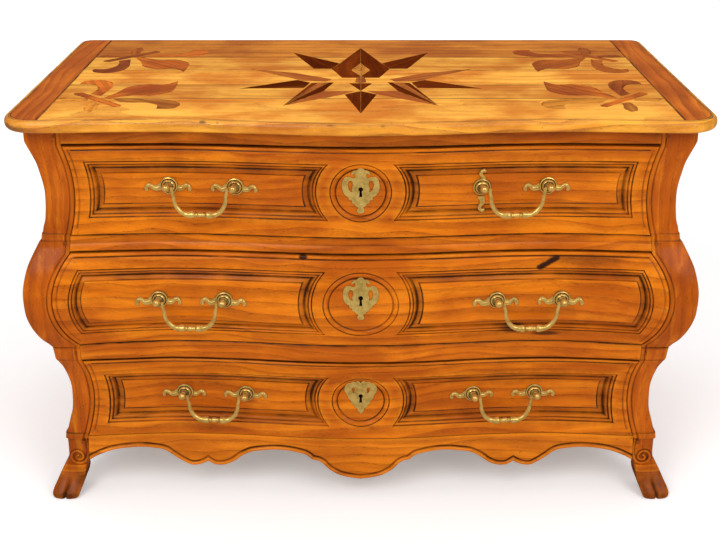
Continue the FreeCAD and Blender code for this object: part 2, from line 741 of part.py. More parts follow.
def carved_tools(drawer):
    outer, outer_ends, inner, inner_ends = panel_outlines[drawer["word"]]
    tools = []
    for side in (-1, 1):
        sunk = panel_face(drawer, outer[0], outer[1], outer_ends, drawer["ring"], side)
        field = panel_face(drawer, inner[0], inner[1], inner_ends, drawer["ring"] + 29, side)
        tools.append(prism_y(sunk.cut(field), corner - 60, corner + 90).common(sunk_skin))
    ring = roundel_face(drawer, 0).cut(roundel_face(drawer, 8))
    tools.append(prism_y(ring, corner - 60, corner + 90).common(ring_skin))
    return tools


def keyhole_shape(drawer, y0, y1):
    z = drawer["keyhole"]
    barrel = Part.makeCylinder(3.6, y1 - y0, Vec(0, y0, z), Vec(0, 1, 0))
    return barrel.fuse(box_shape(-1.5, 1.5, y0, y1, z - 14, z))


def scutcheon_face(drawer):
    """Outline of the plate round the keyhole: a shaped shield."""
    wide, tall = drawer["plate"]
    centre = drawer["keyhole"] - 2
    run = [(0, 1.0), (0.34, 0.72), (0.78, 0.84), (0.98, 0.50), (0.72, 0.16), (0.86, -0.20), (0.60, -0.58),
           (0.26, -0.80), (0, -1.0)]
    if drawer["word"] == "three":
        run = [(0, 0.78), (0.42, 0.98), (0.90, 0.80), (0.96, 0.36), (0.74, -0.06), (0.62, -0.46),
               (0.26, -0.78), (0, -1.0)]
    edges = [curve_through([Vec(side * wide * x, 0, centre + tall * z) for x, z in run]) for side in (-1, 1)]
    return face_of(edges)


def handle_frame(drawer, middle):
    """Placement of one handle: its X along the drawer's face, its Y into it."""
    half = size("handle_boring") / 2
    z = drawer["handle_height"]
    left, right = front_y(middle - half, z), front_y(middle + half, z)
    turn = math.degrees(math.atan2(right - left, 2 * half))
    return FreeCAD.Placement(Vec(middle, (left + right) / 2, z), FreeCAD.Rotation(Vec(0, 0, 1), turn))


def bail_shape():
    """The swinging handle, hung from its pivots at the origin, with a moulded grip."""
    half, drop = size("bail_half_width"), size("bail_drop")
    curl = 30.0
    stations = [(half, 0.0, 2.4), (half + 0.6, -6, 2.5), (half + 1.0, -14, 2.7)]
    for i in range(1, 6):
        angle = math.radians(15 * i)
        stations.append((half + 1 - curl * (1 - math.cos(angle)), -22 - curl * math.sin(angle),
                         2.8 + 0.28 * i))
    stations += [(18, -drop, 5.2), (11, -drop, 6.6), (8, -drop, 6.8), (6.2, -drop, 3.4), (4, -drop, 3.0),
                 (0, -drop, 3.6)]
    path = [(x, z, r) for x, z, r in stations] + [(-x, z, r) for x, z, r in reversed(stations[:-1])]
    wires = []
    for k, (x, z, r) in enumerate(path):
        x0, z0, _ = path[max(k - 1, 0)]
        x1, z1, _ = path[min(k + 1, len(path) - 1)]
        turn = math.degrees(math.atan2(x1 - x0, z1 - z0))
        if k in (0, len(path) - 1):
            turn = 0.0 if k else -180.0
        elif turn > 0:
            turn = turn if k > len(path) / 2 else turn - 360
        ring = Part.Wire(Part.Circle(Vec(0, 0, 0), Vec(0, 0, 1), r).toShape())
        ring.rotate(Vec(0, 0, 0), Vec(0, 1, 0), turn)
        ring.translate(Vec(x, 0, z))
        wires.append(ring)
    loop = Part.makeLoft(wires, True, True)
    reach = size("handle_boring") / 2 - size("ball_radius") + 4
    ends = []
    for side in (-1, 1):
        ends.append(Part.makeSphere(3.2, Vec(side * half, 0, 0)))
        ends.append(Part.makeCylinder(size("pivot_radius"), reach - half, Vec(side * half, 0, 0),
                                      Vec(side, 0, 0)))
    return loop.fuse(ends)


def back_at(drawer, frame, x):
    """Y in the handle's own frame of the back of the drawer front, at x along the handle."""
    turn = math.radians(frame.Rotation.toEuler()[0])
    return (corner + drawer["back"] - frame.Base.y - x * math.sin(turn)) / math.cos(turn)


def post_stud(drawer, frame, side):
    """One handle post: ball, neck and the stud that passes through the drawer front."""
    x = side * size("handle_boring") / 2
    reach, ball = size("post_reach"), size("ball_radius")
    back = back_at(drawer, frame, x) + 7
    profile = [(0, -reach - ball * 0.5), (3.0, -reach - ball * 0.3), (3.2, -reach + 5), (4.6, -14),
               (3.4, -9), (5.0, -3), (5.0, -0.2)]
    edges = [Part.makeLine(Vec(a[0], a[1], 0), Vec(b[0], b[1], 0)) for a, b in zip(profile, profile[1:])]
    stud = size("stud_radius")
    tail = [(5.0, -0.2), (stud, 4.0), (stud, back), (0, back), (0, -reach - ball * 0.5)]
    edges += [Part.makeLine(Vec(a[0], a[1], 0), Vec(b[0], b[1], 0)) for a, b in zip(tail, tail[1:])]
    turned = face_of(edges).revolve(Vec(0, 0, 0), Vec(0, 1, 0), 360)
    body = turned.fuse(Part.makeSphere(ball, Vec(0, -reach, 0)))
    bore = size("pivot_radius") + size("pivot_clearance")
    body = body.cut(Part.makeCylinder(bore, ball + 1, Vec(-side * (ball + 1), -reach, 0), Vec(side, 0, 0)))
    body.translate(Vec(x, 0, 0))
    return body


def square_nut(drawer, frame, side):
    x = side * size("handle_boring") / 2
    back = back_at(drawer, frame, x)
    nut = box_shape(x - 7, x + 7, back + 0.6, back + 5.1, -7, 7)
    return nut.cut(Part.makeCylinder(size("stud_radius"), 30, Vec(x, back - 10, 0), Vec(0, 1, 0)))


def rosette(side, lean):
    """A turned disc with a curled leaf at each side, or above and below and leaning with the face."""
    disc = Part.makeCylinder(17, 8, Vec(0, 5, 0), Vec(0, -1, 0))
    disc = disc.fuse(Part.makeCone(13, 9, 3, Vec(0, -2.5, 0), Vec(0, -1, 0)))
    leaves = []
    for way in (-1, 1):
        curl = Part.makeTorus(9.5, 2.6, Vec(way * 33, -1.2, -1), Vec(0, 1, 0))
        lower = box_shape(way * 33 - 14, way * 33 + 14, -8, 8, -14, -3)
        root = box_shape(min(way * 14, way * 25), max(way * 14, way * 25), -2.6, 3, -4, 3)
        leaves += [curl.cut(lower), root]
    plate = disc.fuse(leaves)
    if lean:
        plate.rotate(Vec(0, 0, 0), Vec(0, 1, 0), 90)
        plate.rotate(Vec(0, 0, 0), Vec(1, 0, 0), lean)
    plate = plate.cut(Part.makeCylinder(5.0, 40, Vec(0, -20, 0), Vec(0, 1, 0)))
    plate.translate(Vec(side * size("handle_boring") / 2, 0, 0))
    return plate


# Lean of the face at the upper right handle, whose inner rosette is set upright.
upright_lean = math.degrees(math.atan2(front_y(232, 674) - front_y(232, 710), 36))


def placed(shape, frame):
    shape = shape.copy()
    shape.Placement = frame.multiply(shape.Placement)
    return shape


def make_drawer(drawer):
    word, name = drawer["word"], drawer["name"]
    base, top, back = drawer["base"], drawer["top"], drawer["back"]
    low = "Sizes.drawer_%s_base" % word
    box_front = "Sizes.corner_line + %d" % (back - 10)
    depth = "Sizes.drawer_end - %d" % (back - 10)
    side_height = "Sizes.drawer_%s_top - %s - 14" % (word, low)
    floor_box = block("floor_box_" + word, ("-Sizes.drawer_half_width + 7", box_front, low + " + 9"),
                      ("2 * (Sizes.drawer_half_width - 7)", depth, "Sizes.drawer_floor"))
    keep(floor_box, "drawer_%s_bottom" % name)
    for side, start in (("left", "-Sizes.drawer_half_width"),
                        ("right", "Sizes.drawer_half_width - Sizes.drawer_side")):
        board = block("side_box_%s_%s" % (word, side), (start, box_front, low),
                      ("Sizes.drawer_side", depth, side_height))
        keep(boolean("Cut", "side_cut_%s_%s" % (word, side), board, floor_box),
             "drawer_%s_side_%s" % (name, side))
    back_box = block("back_box_" + word,
                     ("-Sizes.drawer_half_width + Sizes.drawer_side",
                      "Sizes.corner_line + Sizes.drawer_end - 12", low + " + 9 + Sizes.drawer_floor"),
                     ("2 * (Sizes.drawer_half_width - Sizes.drawer_side)", "12",
                      side_height + " - 9 - Sizes.drawer_floor - 6"))
    keep(back_box, "drawer_%s_back" % name)
    doc.recompute()

    # Lock: an open-topped iron case let into the back of the front, with its bolt.
    lock_base = drawer["keyhole"] - 38
    half_lock, wall = size("lock_width") / 2, size("lock_wall")
    y1 = corner + back
    y0 = y1 - size("lock_thickness")
    half_bolt = size("bolt_width") / 2
    case = box_shape(-half_lock, half_lock, y0, y1, lock_base, top)
    hollow = box_shape(-half_bolt - 0.5, half_bolt + 0.5, y0 + wall, y1 - wall, lock_base + wall, top + 1)
    keyway = keyhole_shape(drawer, y0 - 1, y0 + wall + 1)
    keep(solid_feature("lock_case_" + word, case.cut([hollow, keyway])), "lock_case_" + name)
    bolt = box_shape(-half_bolt, half_bolt, y0 + wall + 0.5, y1 - wall - 0.5, lock_base + wall + 1,
                     top - 0.2)
    keep(solid_feature("lock_bolt_" + word, bolt), "lock_bolt_" + name)

    # Hardware of the two handles.
    frames = [handle_frame(drawer, x) for x in drawer["handles"]]
    posts, nuts, plates = [], [], []
    for index, frame in enumerate(frames):
        for side in (-1, 1):
            posts.append(placed(post_stud(drawer, frame, side), frame))
            nuts.append(placed(square_nut(drawer, frame, side), frame))
            lean = upright_lean if word == "one" and index == 1 and side == -1 else 0.0
            plates.append(placed(rosette(side, lean), frame))
    keep(solid_feature("handle_posts_" + word, Part.Compound(posts + nuts)), "handle_posts_" + name)
    plates = [plate.cut(front_solid) for plate in plates]
    keep(solid_feature("rosettes_" + word, Part.Compound(plates)), "rosettes_" + name)
    for side, frame in zip(("left", "right"), frames):
        item = solid_feature("bail_%s_%s" % (word, side), bail_shape())
        pivot = frame.multiply(FreeCAD.Placement(Vec(0, -size("post_reach"), 0), FreeCAD.Rotation()))
        item.Placement = pivot
        axis = pivot.Rotation.multVec(Vec(1, 0, 0))
        print("bail_%s_%s pivot mm %.3f %.3f %.3f axis %.5f %.5f %.5f"
              % (name, side, pivot.Base.x, pivot.Base.y, pivot.Base.z, axis.x, axis.y, axis.z))
        keep(item, "bail_%s_%s" % (name, side))

    # Front: cut from the curved form, carved, and bored for lock and handles.
    front = prism_y(drawer_face(drawer), corner - 60, corner + back).common(front_solid)
    front = front.cut(carved_tools(drawer))
    pockets = [case, keyhole_shape(drawer, corner - 60, y1), floor_box.Shape]
    for side in (-1, 1):
        low_x, high_x = sorted((side * size("drawer_half_width"),
                                side * (size("drawer_half_width") - size("drawer_side"))))
        pockets.append(box_shape(low_x, high_x, corner + back - 10, corner + back + 1, base, top - 14))
    front = front.cut(pockets).cut(posts)
    keep(solid_feature("drawer_front_" + word, front), "drawer_%s_front" % name)
    plate = prism_y(scutcheon_face(drawer), corner - 60, corner + 60).common(plate_skin)
    plate = plate.cut(keyhole_shape(drawer, corner - 60, corner + 60))
    keep(solid_feature("escutcheon_shape_" + word, plate), "escutcheon_" + name)


for drawer in drawers:
    make_drawer(drawer)

# ---------------------------------------------------------------- check and write

doc.recompute()
for item in doc.Objects:
    if "Invalid" in item.State or "Error" in item.State:
        raise RuntimeError("object %s failed: %s" % (item.Label, item.State))
labels = [item.Label for item in parts]
if len(set(labels)) != len(labels) or len(labels) > 60:
    raise RuntimeError("labels must be unique and at most 60: %d" % len(labels))
whole = FreeCAD.BoundBox()
bad = []
os.makedirs("parts", exist_ok=True)
for item in parts:
    shape = item.Shape
    if shape.isNull() or not shape.isValid() or not shape.Solids:
        bad.append(item.Label)
    whole.add(shape.BoundBox)
if bad:
    raise RuntimeError("bad shapes: " + ", ".join(bad))
for item in parts:
    item.Shape.exportStep("parts/%s.step" % item.Label)
print("%d pieces; X %.1f..%.1f  Y %.1f..%.1f  Z %.1f..%.1f" % (
    len(parts), whole.XMin, whole.XMax, whole.YMin, whole.YMax, whole.ZMin, whole.ZMax))
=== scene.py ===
import math
import random

import bmesh
import bpy
import numpy as np
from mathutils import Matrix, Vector
from mathutils.geometry import delaunay_2d_cdt


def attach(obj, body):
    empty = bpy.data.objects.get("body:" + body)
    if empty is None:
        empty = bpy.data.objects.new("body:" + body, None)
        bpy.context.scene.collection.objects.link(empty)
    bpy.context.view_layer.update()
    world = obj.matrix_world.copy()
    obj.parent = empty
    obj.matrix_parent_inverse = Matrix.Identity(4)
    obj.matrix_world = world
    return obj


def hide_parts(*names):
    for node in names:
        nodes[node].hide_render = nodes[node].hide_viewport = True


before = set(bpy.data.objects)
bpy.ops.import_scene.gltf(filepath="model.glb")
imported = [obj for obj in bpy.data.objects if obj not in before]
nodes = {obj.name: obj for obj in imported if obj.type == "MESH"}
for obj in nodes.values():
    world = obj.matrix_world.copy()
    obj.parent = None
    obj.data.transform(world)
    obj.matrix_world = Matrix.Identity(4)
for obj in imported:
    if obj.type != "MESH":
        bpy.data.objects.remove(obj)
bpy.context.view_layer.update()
print("frame loaded")

mm = 0.001                 # shapes are worked out in millimetres
cornerLine = -346.0        # Y of the line that the depths are measured from
random.seed(11)

# ---- the curved body: one set of rules that every front piece follows

body = {
    "swells": [(90, -11.6), (109, -12.5), (149, -18.6), (189, -24.4), (218, -25.3), (247, -22.8), (278, -17),
               (295, -12), (310, -6.5), (318, -2.5), (327, 1), (344, 2.5), (361, 4), (370, 8), (385, 14),
               (399, 18),
               (419, 21.1), (446, 21.8), (483, 18.2), (519, 10.6), (553, -0.9), (564, -5.4), (575, -9),
               (587, -10.4), (600, -13.7), (623, -16.4), (660, -17.4), (698, -14.6), (737, -7.6), (750, -3.9),
               (766, -0.4), (780, 0), (808, 0)],
    "endSweeps": [(90, 14), (140, 14), (320, 15), (365, 24), (440, 21), (580, 13), (780, 7), (840, 7)],
    "bowHalf": 380.0, "frontBow": 25.5, "setback": 35.0, "ripple": 0.22,
}

drawers = {
    "upper": {"base": 590, "top": 773, "arc": (563, 550, 563), "back": 72, "centre": 680, "ring": 85,
              "handles": (-305, 296), "handleZ": 692, "keyZ": 687, "roundel": (60, 60), "plate": (36, 47),
              "panel": (622, 739), "panelEnds": (528, 522, 528), "field": (652, 712),
              "fieldEnds": (495, 491, 495)},
    "middle": {"base": 367, "top": 557, "arc": (559, 602, 565), "back": 56, "centre": 460, "ring": 95,
               "handles": (-332, 331), "handleZ": 469, "keyZ": 476, "roundel": (75, 66), "plate": (35, 43),
               "panel": (395, 526), "panelEnds": (552, 573, 552), "field": (420, 502),
               "fieldEnds": (534, 546, 538)},
    "lower": {"base": 141, "top": 325, "arc": (568, 550, 561), "back": 80, "centre": 225, "ring": 87,
              "handles": (-300, 295), "handleZ": 241, "keyZ": 238, "roundel": (60, 58), "plate": (34, 41),
              "panel": (167, 283), "panelEnds": (528, 521, 526), "field": (200, 265),
              "fieldEnds": (490, 487, 490)},
}


def along(points, at):     # height on the smooth line through the points, level past its ends
    xs, ys = np.asarray(points, float).T
    last = len(xs) - 1
    at = np.clip(np.asarray(at, float), xs[0], xs[-1])
    i = np.clip(np.searchsorted(xs, at, side="right") - 1, 0, last - 1)
    k = np.arange(len(xs))
    low, high = np.maximum(k - 1, 0), np.minimum(k + 1, last)
    slope = (ys[high] - ys[low]) / (xs[high] - xs[low])
    step = xs[i + 1] - xs[i]
    u = (at - xs[i]) / step
    return (ys[i] * (1 + 2 * u) * (1 - u) ** 2 + ys[i + 1] * u * u * (3 - 2 * u)
            + step * slope[i] * u * (1 - u) ** 2 + step * slope[i + 1] * u * u * (u - 1))


def swell(z):
    return along(body["swells"], z)


def endSweep(x):
    return (np.maximum(np.abs(x) - body["bowHalf"], 0.0) / 200) ** 1.4


def bow(x):
    reach = body["bowHalf"]
    return np.where(np.abs(x) < reach, np.cos(np.pi * np.asarray(x) / (2 * reach)) ** 2, 0.0)


def frontY(x, z):          # the chest's front face
    back = body["setback"] - body["frontBow"] * bow(x) - swell(z)
    return cornerLine + back - along(body["endSweeps"], z) * endSweep(x)


def ripple(x, z):          # the small waves that a plane leaves by hand
    return body["ripple"] * (np.sin(x * 0.031 + z * 0.012) * np.sin(z * 0.047 + 1.1)
                             + 0.6 * np.sin(x * 0.083 - z * 0.021 + 2.0))


def openingHalf(z):        # half width of the drawer opening
    knots = [drawers[name] for name in ("lower", "middle", "upper")]
    if z < knots[0]["base"]:
        return knots[0]["arc"][0]
    for d in knots:
        low, middle, high = d["arc"]
        if d["base"] <= z <= d["top"]:
            u = (z - d["base"]) / (d["top"] - d["base"])
            return low + (high - low) * u + (middle - (low + high) / 2) * 4 * u * (1 - u)
    for a, b in zip(knots, knots[1:]):
        if a["top"] < z < b["base"]:
            return a["arc"][2] + (b["arc"][0] - a["arc"][2]) * (z - a["top"]) / (b["base"] - a["top"])
    return knots[-1]["arc"][2]


# ---- outlines and skins

def smoothRun(points, gap):        # a smooth run through the points, with one point every gap
    p = np.asarray(points, float)
    chord = np.maximum(np.linalg.norm(np.diff(p, axis=0), axis=1), 1e-6)[:, None]
    run = np.diff(p, axis=0) / chord
    slope = np.empty_like(p)
    slope[1:-1] = (run[:-1] * chord[1:] + run[1:] * chord[:-1]) / (chord[:-1] + chord[1:])
    slope[0] = 1.5 * run[0] - 0.5 * slope[1] if len(p) > 2 else run[0]
    slope[-1] = 1.5 * run[-1] - 0.5 * slope[-2] if len(p) > 2 else run[-1]
    out = []
    for k in range(len(chord)):
        count = max(1, int(round(chord[k, 0] / gap)))
        u = (np.arange(count) / count)[:, None]
        out.append(p[k] * (1 + 2 * u) * (1 - u) ** 2 + p[k + 1] * u * u * (3 - 2 * u)
                   + chord[k] * (slope[k] * u * (1 - u) ** 2 + slope[k + 1] * u * u * (u - 1)))
    return np.vstack(out + [p[-1:]])


def sideNormals(ring, closed=True):    # left-hand direction at each point, stretched at corners
    if closed:
        back, ahead = ring - np.roll(ring, 1, 0), np.roll(ring, -1, 0) - ring
    else:
        steps = np.diff(ring, axis=0)
        back, ahead = np.vstack([steps[:1], steps]), np.vstack([steps, steps[-1:]])
    back = back / np.linalg.norm(back, axis=1)[:, None]
    ahead = ahead / np.linalg.norm(ahead, axis=1)[:, None]
    n1, n2 = np.c_[-back[:, 1], back[:, 0]], np.c_[-ahead[:, 1], ahead[:, 0]]
    middle = n1 + n2
    middle /= np.maximum(np.linalg.norm(middle, axis=1), 1e-9)[:, None]
    return middle / np.clip((middle * n1).sum(1), 0.45, 1)[:, None]


def insetRing(ring, amount, closed=True):
    return ring + sideNormals(ring, closed) * amount


def insideRing(points, ring):
    x, y = points[:, 0][:, None], points[:, 1][:, None]
    (x0, y0), (x1, y1) = ring.T, np.roll(ring, -1, 0).T
    rise = np.where(y1 == y0, 1e-12, y1 - y0)
    return (((y0 > y) != (y1 > y)) & (x < (x1 - x0) * (y - y0) / rise + x0)).sum(1) % 2 == 1


def fillRegion(outer, holes, gap):     # triangles over a region, with its holes left open
    rings = [outer] + list(holes)
    edges, start = [], 0
    for ring in rings:
        edges += [(start + i, start + (i + 1) % len(ring)) for i in range(len(ring))]
        start += len(ring)
    points = np.vstack(rings)
    low, high = outer.min(0), outer.max(0)
    gx, gy = np.meshgrid(np.arange(low[0] + gap / 2, high[0], gap),
                         np.arange(low[1] + gap / 2, high[1], gap * 0.87))
    gx[1::2] += gap / 2
    grid = np.c_[gx.ravel(), gy.ravel()]
    keep = insideRing(grid, outer)
    for hole in holes:
        keep &= ~insideRing(grid, hole)
    grid = grid[keep]
    if len(grid):
        away = np.array([np.min(np.hypot(*(points - g).T)) > gap * 0.5 for g in grid])
        points = np.vstack([points, grid[away]])
    verts, _, faces, *_ = delaunay_2d_cdt([Vector(p) for p in points], edges, [], 0, 1e-5)
    verts, tris = np.array([tuple(v) for v in verts]), np.array([tuple(f) for f in faces])
    centre = verts[tris].mean(1)
    keep = insideRing(centre, outer)
    for hole in holes:
        keep &= ~insideRing(centre, hole)
    tris = tris[keep]
    a, b, c = verts[tris[:, 0]], verts[tris[:, 1]], verts[tris[:, 2]]
    area = (b[:, 0] - a[:, 0]) * (c[:, 1] - a[:, 1]) - (b[:, 1] - a[:, 1]) * (c[:, 0] - a[:, 0])
    tris = tris[np.abs(area) > 1e-6]
    area = area[np.abs(area) > 1e-6]
    tris[area < 0] = tris[area < 0][:, ::-1]
    return verts, tris


class Skin:                # gathers the points, faces, grime with painted shade, and tone of one piece
    def __init__(self):
        self.points, self.faces, self.grime, self.tone, self.grain = [], [], [], [], []

    def add(self, points, grime=0.0, tone=0.5, grain=None):
        start = len(self.points)
        points = np.asarray(points, float)
        self.points.extend(map(tuple, points))
        self.grime.extend(np.broadcast_to(grime, len(points)))
        self.tone.extend(np.broadcast_to(tone, len(points)))
        self.grain.extend(map(tuple, points[:, :2] if grain is None else grain))
        return list(range(start, start + len(points)))

    def strip(self, a, b, closed=True):
        count = len(a) if closed else len(a) - 1
        for i in range(count):
            j = (i + 1) % len(a)
            self.faces.append((a[i], a[j], b[j], b[i]))

    def rings(self, steps, closed=True, cycle=False):      # steps: (points, grime and painted shade) from ring to ring
        ids = [self.add(points, grime) for points, grime in steps]
        for a, b in zip(ids, ids[1:] + (ids[:1] if cycle else [])):
            self.strip(a, b, closed)
        return ids

    def fill(self, place, outer, holes, gap, depth, grime=0.0):
        verts, tris = fillRegion(outer, holes, gap)
        start = len(self.points)
        self.add(place(verts, depth), grime)
        self.faces.extend(tuple(int(i) + start for i in t) for t in tris)

    def cap(self, ids, flip=False):
        self.faces.append(tuple(reversed(ids)) if flip else tuple(ids))


def edgeTones(mesh):       # hollows darken with grime and painted shade, and ridges wear bright
    count = len(mesh.vertices)
    at, normal = np.zeros(count * 3), np.zeros(count * 3)
    mesh.vertices.foreach_get("co", at)
    mesh.vertices.foreach_get("normal", normal)
    at, normal = at.reshape(-1, 3), normal.reshape(-1, 3)
    pairs = np.zeros(len(mesh.edges) * 2, int)
    mesh.edges.foreach_get("vertices", pairs)
    a, b = pairs.reshape(-1, 2).T
    way = at[b] - at[a]
    way /= np.maximum(np.linalg.norm(way, axis=1), 1e-9)[:, None]
    bend, links = np.zeros(count), np.zeros(count)
    np.add.at(bend, a, (normal[a] * way).sum(1))
    np.add.at(bend, b, -(normal[b] * way).sum(1))
    np.add.at(links, a, 1)
    np.add.at(links, b, 1)
    return bend / np.maximum(links, 1)


def addLayer(mesh, name, values):
    layer = mesh.attributes.new(name, "FLOAT", "POINT")
    layer.data.foreach_set("value", np.asarray(values, np.float32))


def finishMesh(obj, sharp):
    mesh = obj.data
    mesh.shade_smooth()
    mesh.set_sharp_from_angle(angle=math.radians(sharp))
    bend = edgeTones(mesh)
    # hollow: concave places, later darkened as grime and painted shade
    addLayer(mesh, "hollow", np.clip((bend - 0.05) * 3.0, 0, 1))
    addLayer(mesh, "worn", np.clip((-bend - 0.06) * 3.0, 0, 1))


def makePiece(name, skin, material, bodyName, replaced=(), sharp=34, weld=0.003, grainMap=False,
              turnOut=False):
    mesh = bpy.data.meshes.new(name)
    mesh.from_pydata([(x * mm, y * mm, z * mm) for x, y, z in skin.points], [],
                     [tuple(int(i) for i in f) for f in skin.faces])
    addLayer(mesh, "grime", skin.grime)
    addLayer(mesh, "tone", skin.tone)
    if grainMap:
        layer = mesh.uv_layers.new(name="grainMap")
        loops = np.zeros(len(mesh.loops), int)
        mesh.loops.foreach_get("vertex_index", loops)
        layer.data.foreach_set("uv", (np.array(skin.grain)[loops] * mm).ravel())
    work = bmesh.new()
    work.from_mesh(mesh)
    bmesh.ops.remove_doubles(work, verts=work.verts, dist=weld * mm)
    bmesh.ops.dissolve_degenerate(work, edges=work.edges, dist=weld * mm)
    if turnOut:
        bmesh.ops.recalc_face_normals(work, faces=work.faces)
    work.to_mesh(mesh)
    work.free()
    mesh.validate()
    obj = bpy.data.objects.new(name, mesh)
    bpy.context.scene.collection.objects.link(obj)
    mesh.materials.append(material)
    finishMesh(obj, sharp)
    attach(obj, bodyName)
    if replaced:
        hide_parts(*replaced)
    return obj


# ---- materials

def put(tree, kind, inputs=None, **settings):      # one node, its settings and its inputs
    node = tree.nodes.new(kind)
    for key, value in settings.items():
        setattr(node, key, value)
    for key, value in (inputs or {}).items():
        socket = node.inputs[key]
        if isinstance(value, bpy.types.NodeSocket):
            tree.links.new(value, socket)
        else:
            socket.default_value = value
    return node


def maths(tree, operation, *values, clamp=False):
    node = put(tree, "ShaderNodeMath", dict(enumerate(values)), operation=operation, use_clamp=clamp)
    return node.outputs[0]


def vectors(tree, operation, inputs, output=0):
    return put(tree, "ShaderNodeVectorMath", inputs, operation=operation).outputs[output]


def noiseOf(tree, at, scale, detail, rough=0.5, output="Fac"):
    inputs = {"Vector": at, "Scale": scale, "Detail": detail, "Roughness": rough}
    return put(tree, "ShaderNodeTexNoise", inputs).outputs[output]


def blendColour(tree, factor, a, b, blend="MIX"):
    node = put(tree, "ShaderNodeMix", {0: factor, 6: a, 7: b}, data_type="RGBA", blend_type=blend)
    return node.outputs[2]


def rampOf(tree, value, low, high):                # 0 at low, 1 at high
    node = put(tree, "ShaderNodeMapRange", {0: value, 1: low, 2: high, 3: 0.0, 4: 1.0},
               interpolation_type="SMOOTHSTEP")
    return node.outputs[0]


def layerOf(tree, name):
    return put(tree, "ShaderNodeAttribute", attribute_name=name).outputs["Fac"]


def newMaterial(name):
    material = bpy.data.materials.new(name)
    material.use_nodes = True
    tree = material.node_tree
    tree.nodes.clear()
    shader = put(tree, "ShaderNodeBsdfPrincipled")
    put(tree, "ShaderNodeOutputMaterial", {"Surface": shader.outputs[0]})
    return material, tree, shader


grainTurns = {"x": (0, 0, 0), "y": (0, 0, math.radians(90)), "z": (0, math.radians(90), 0)}


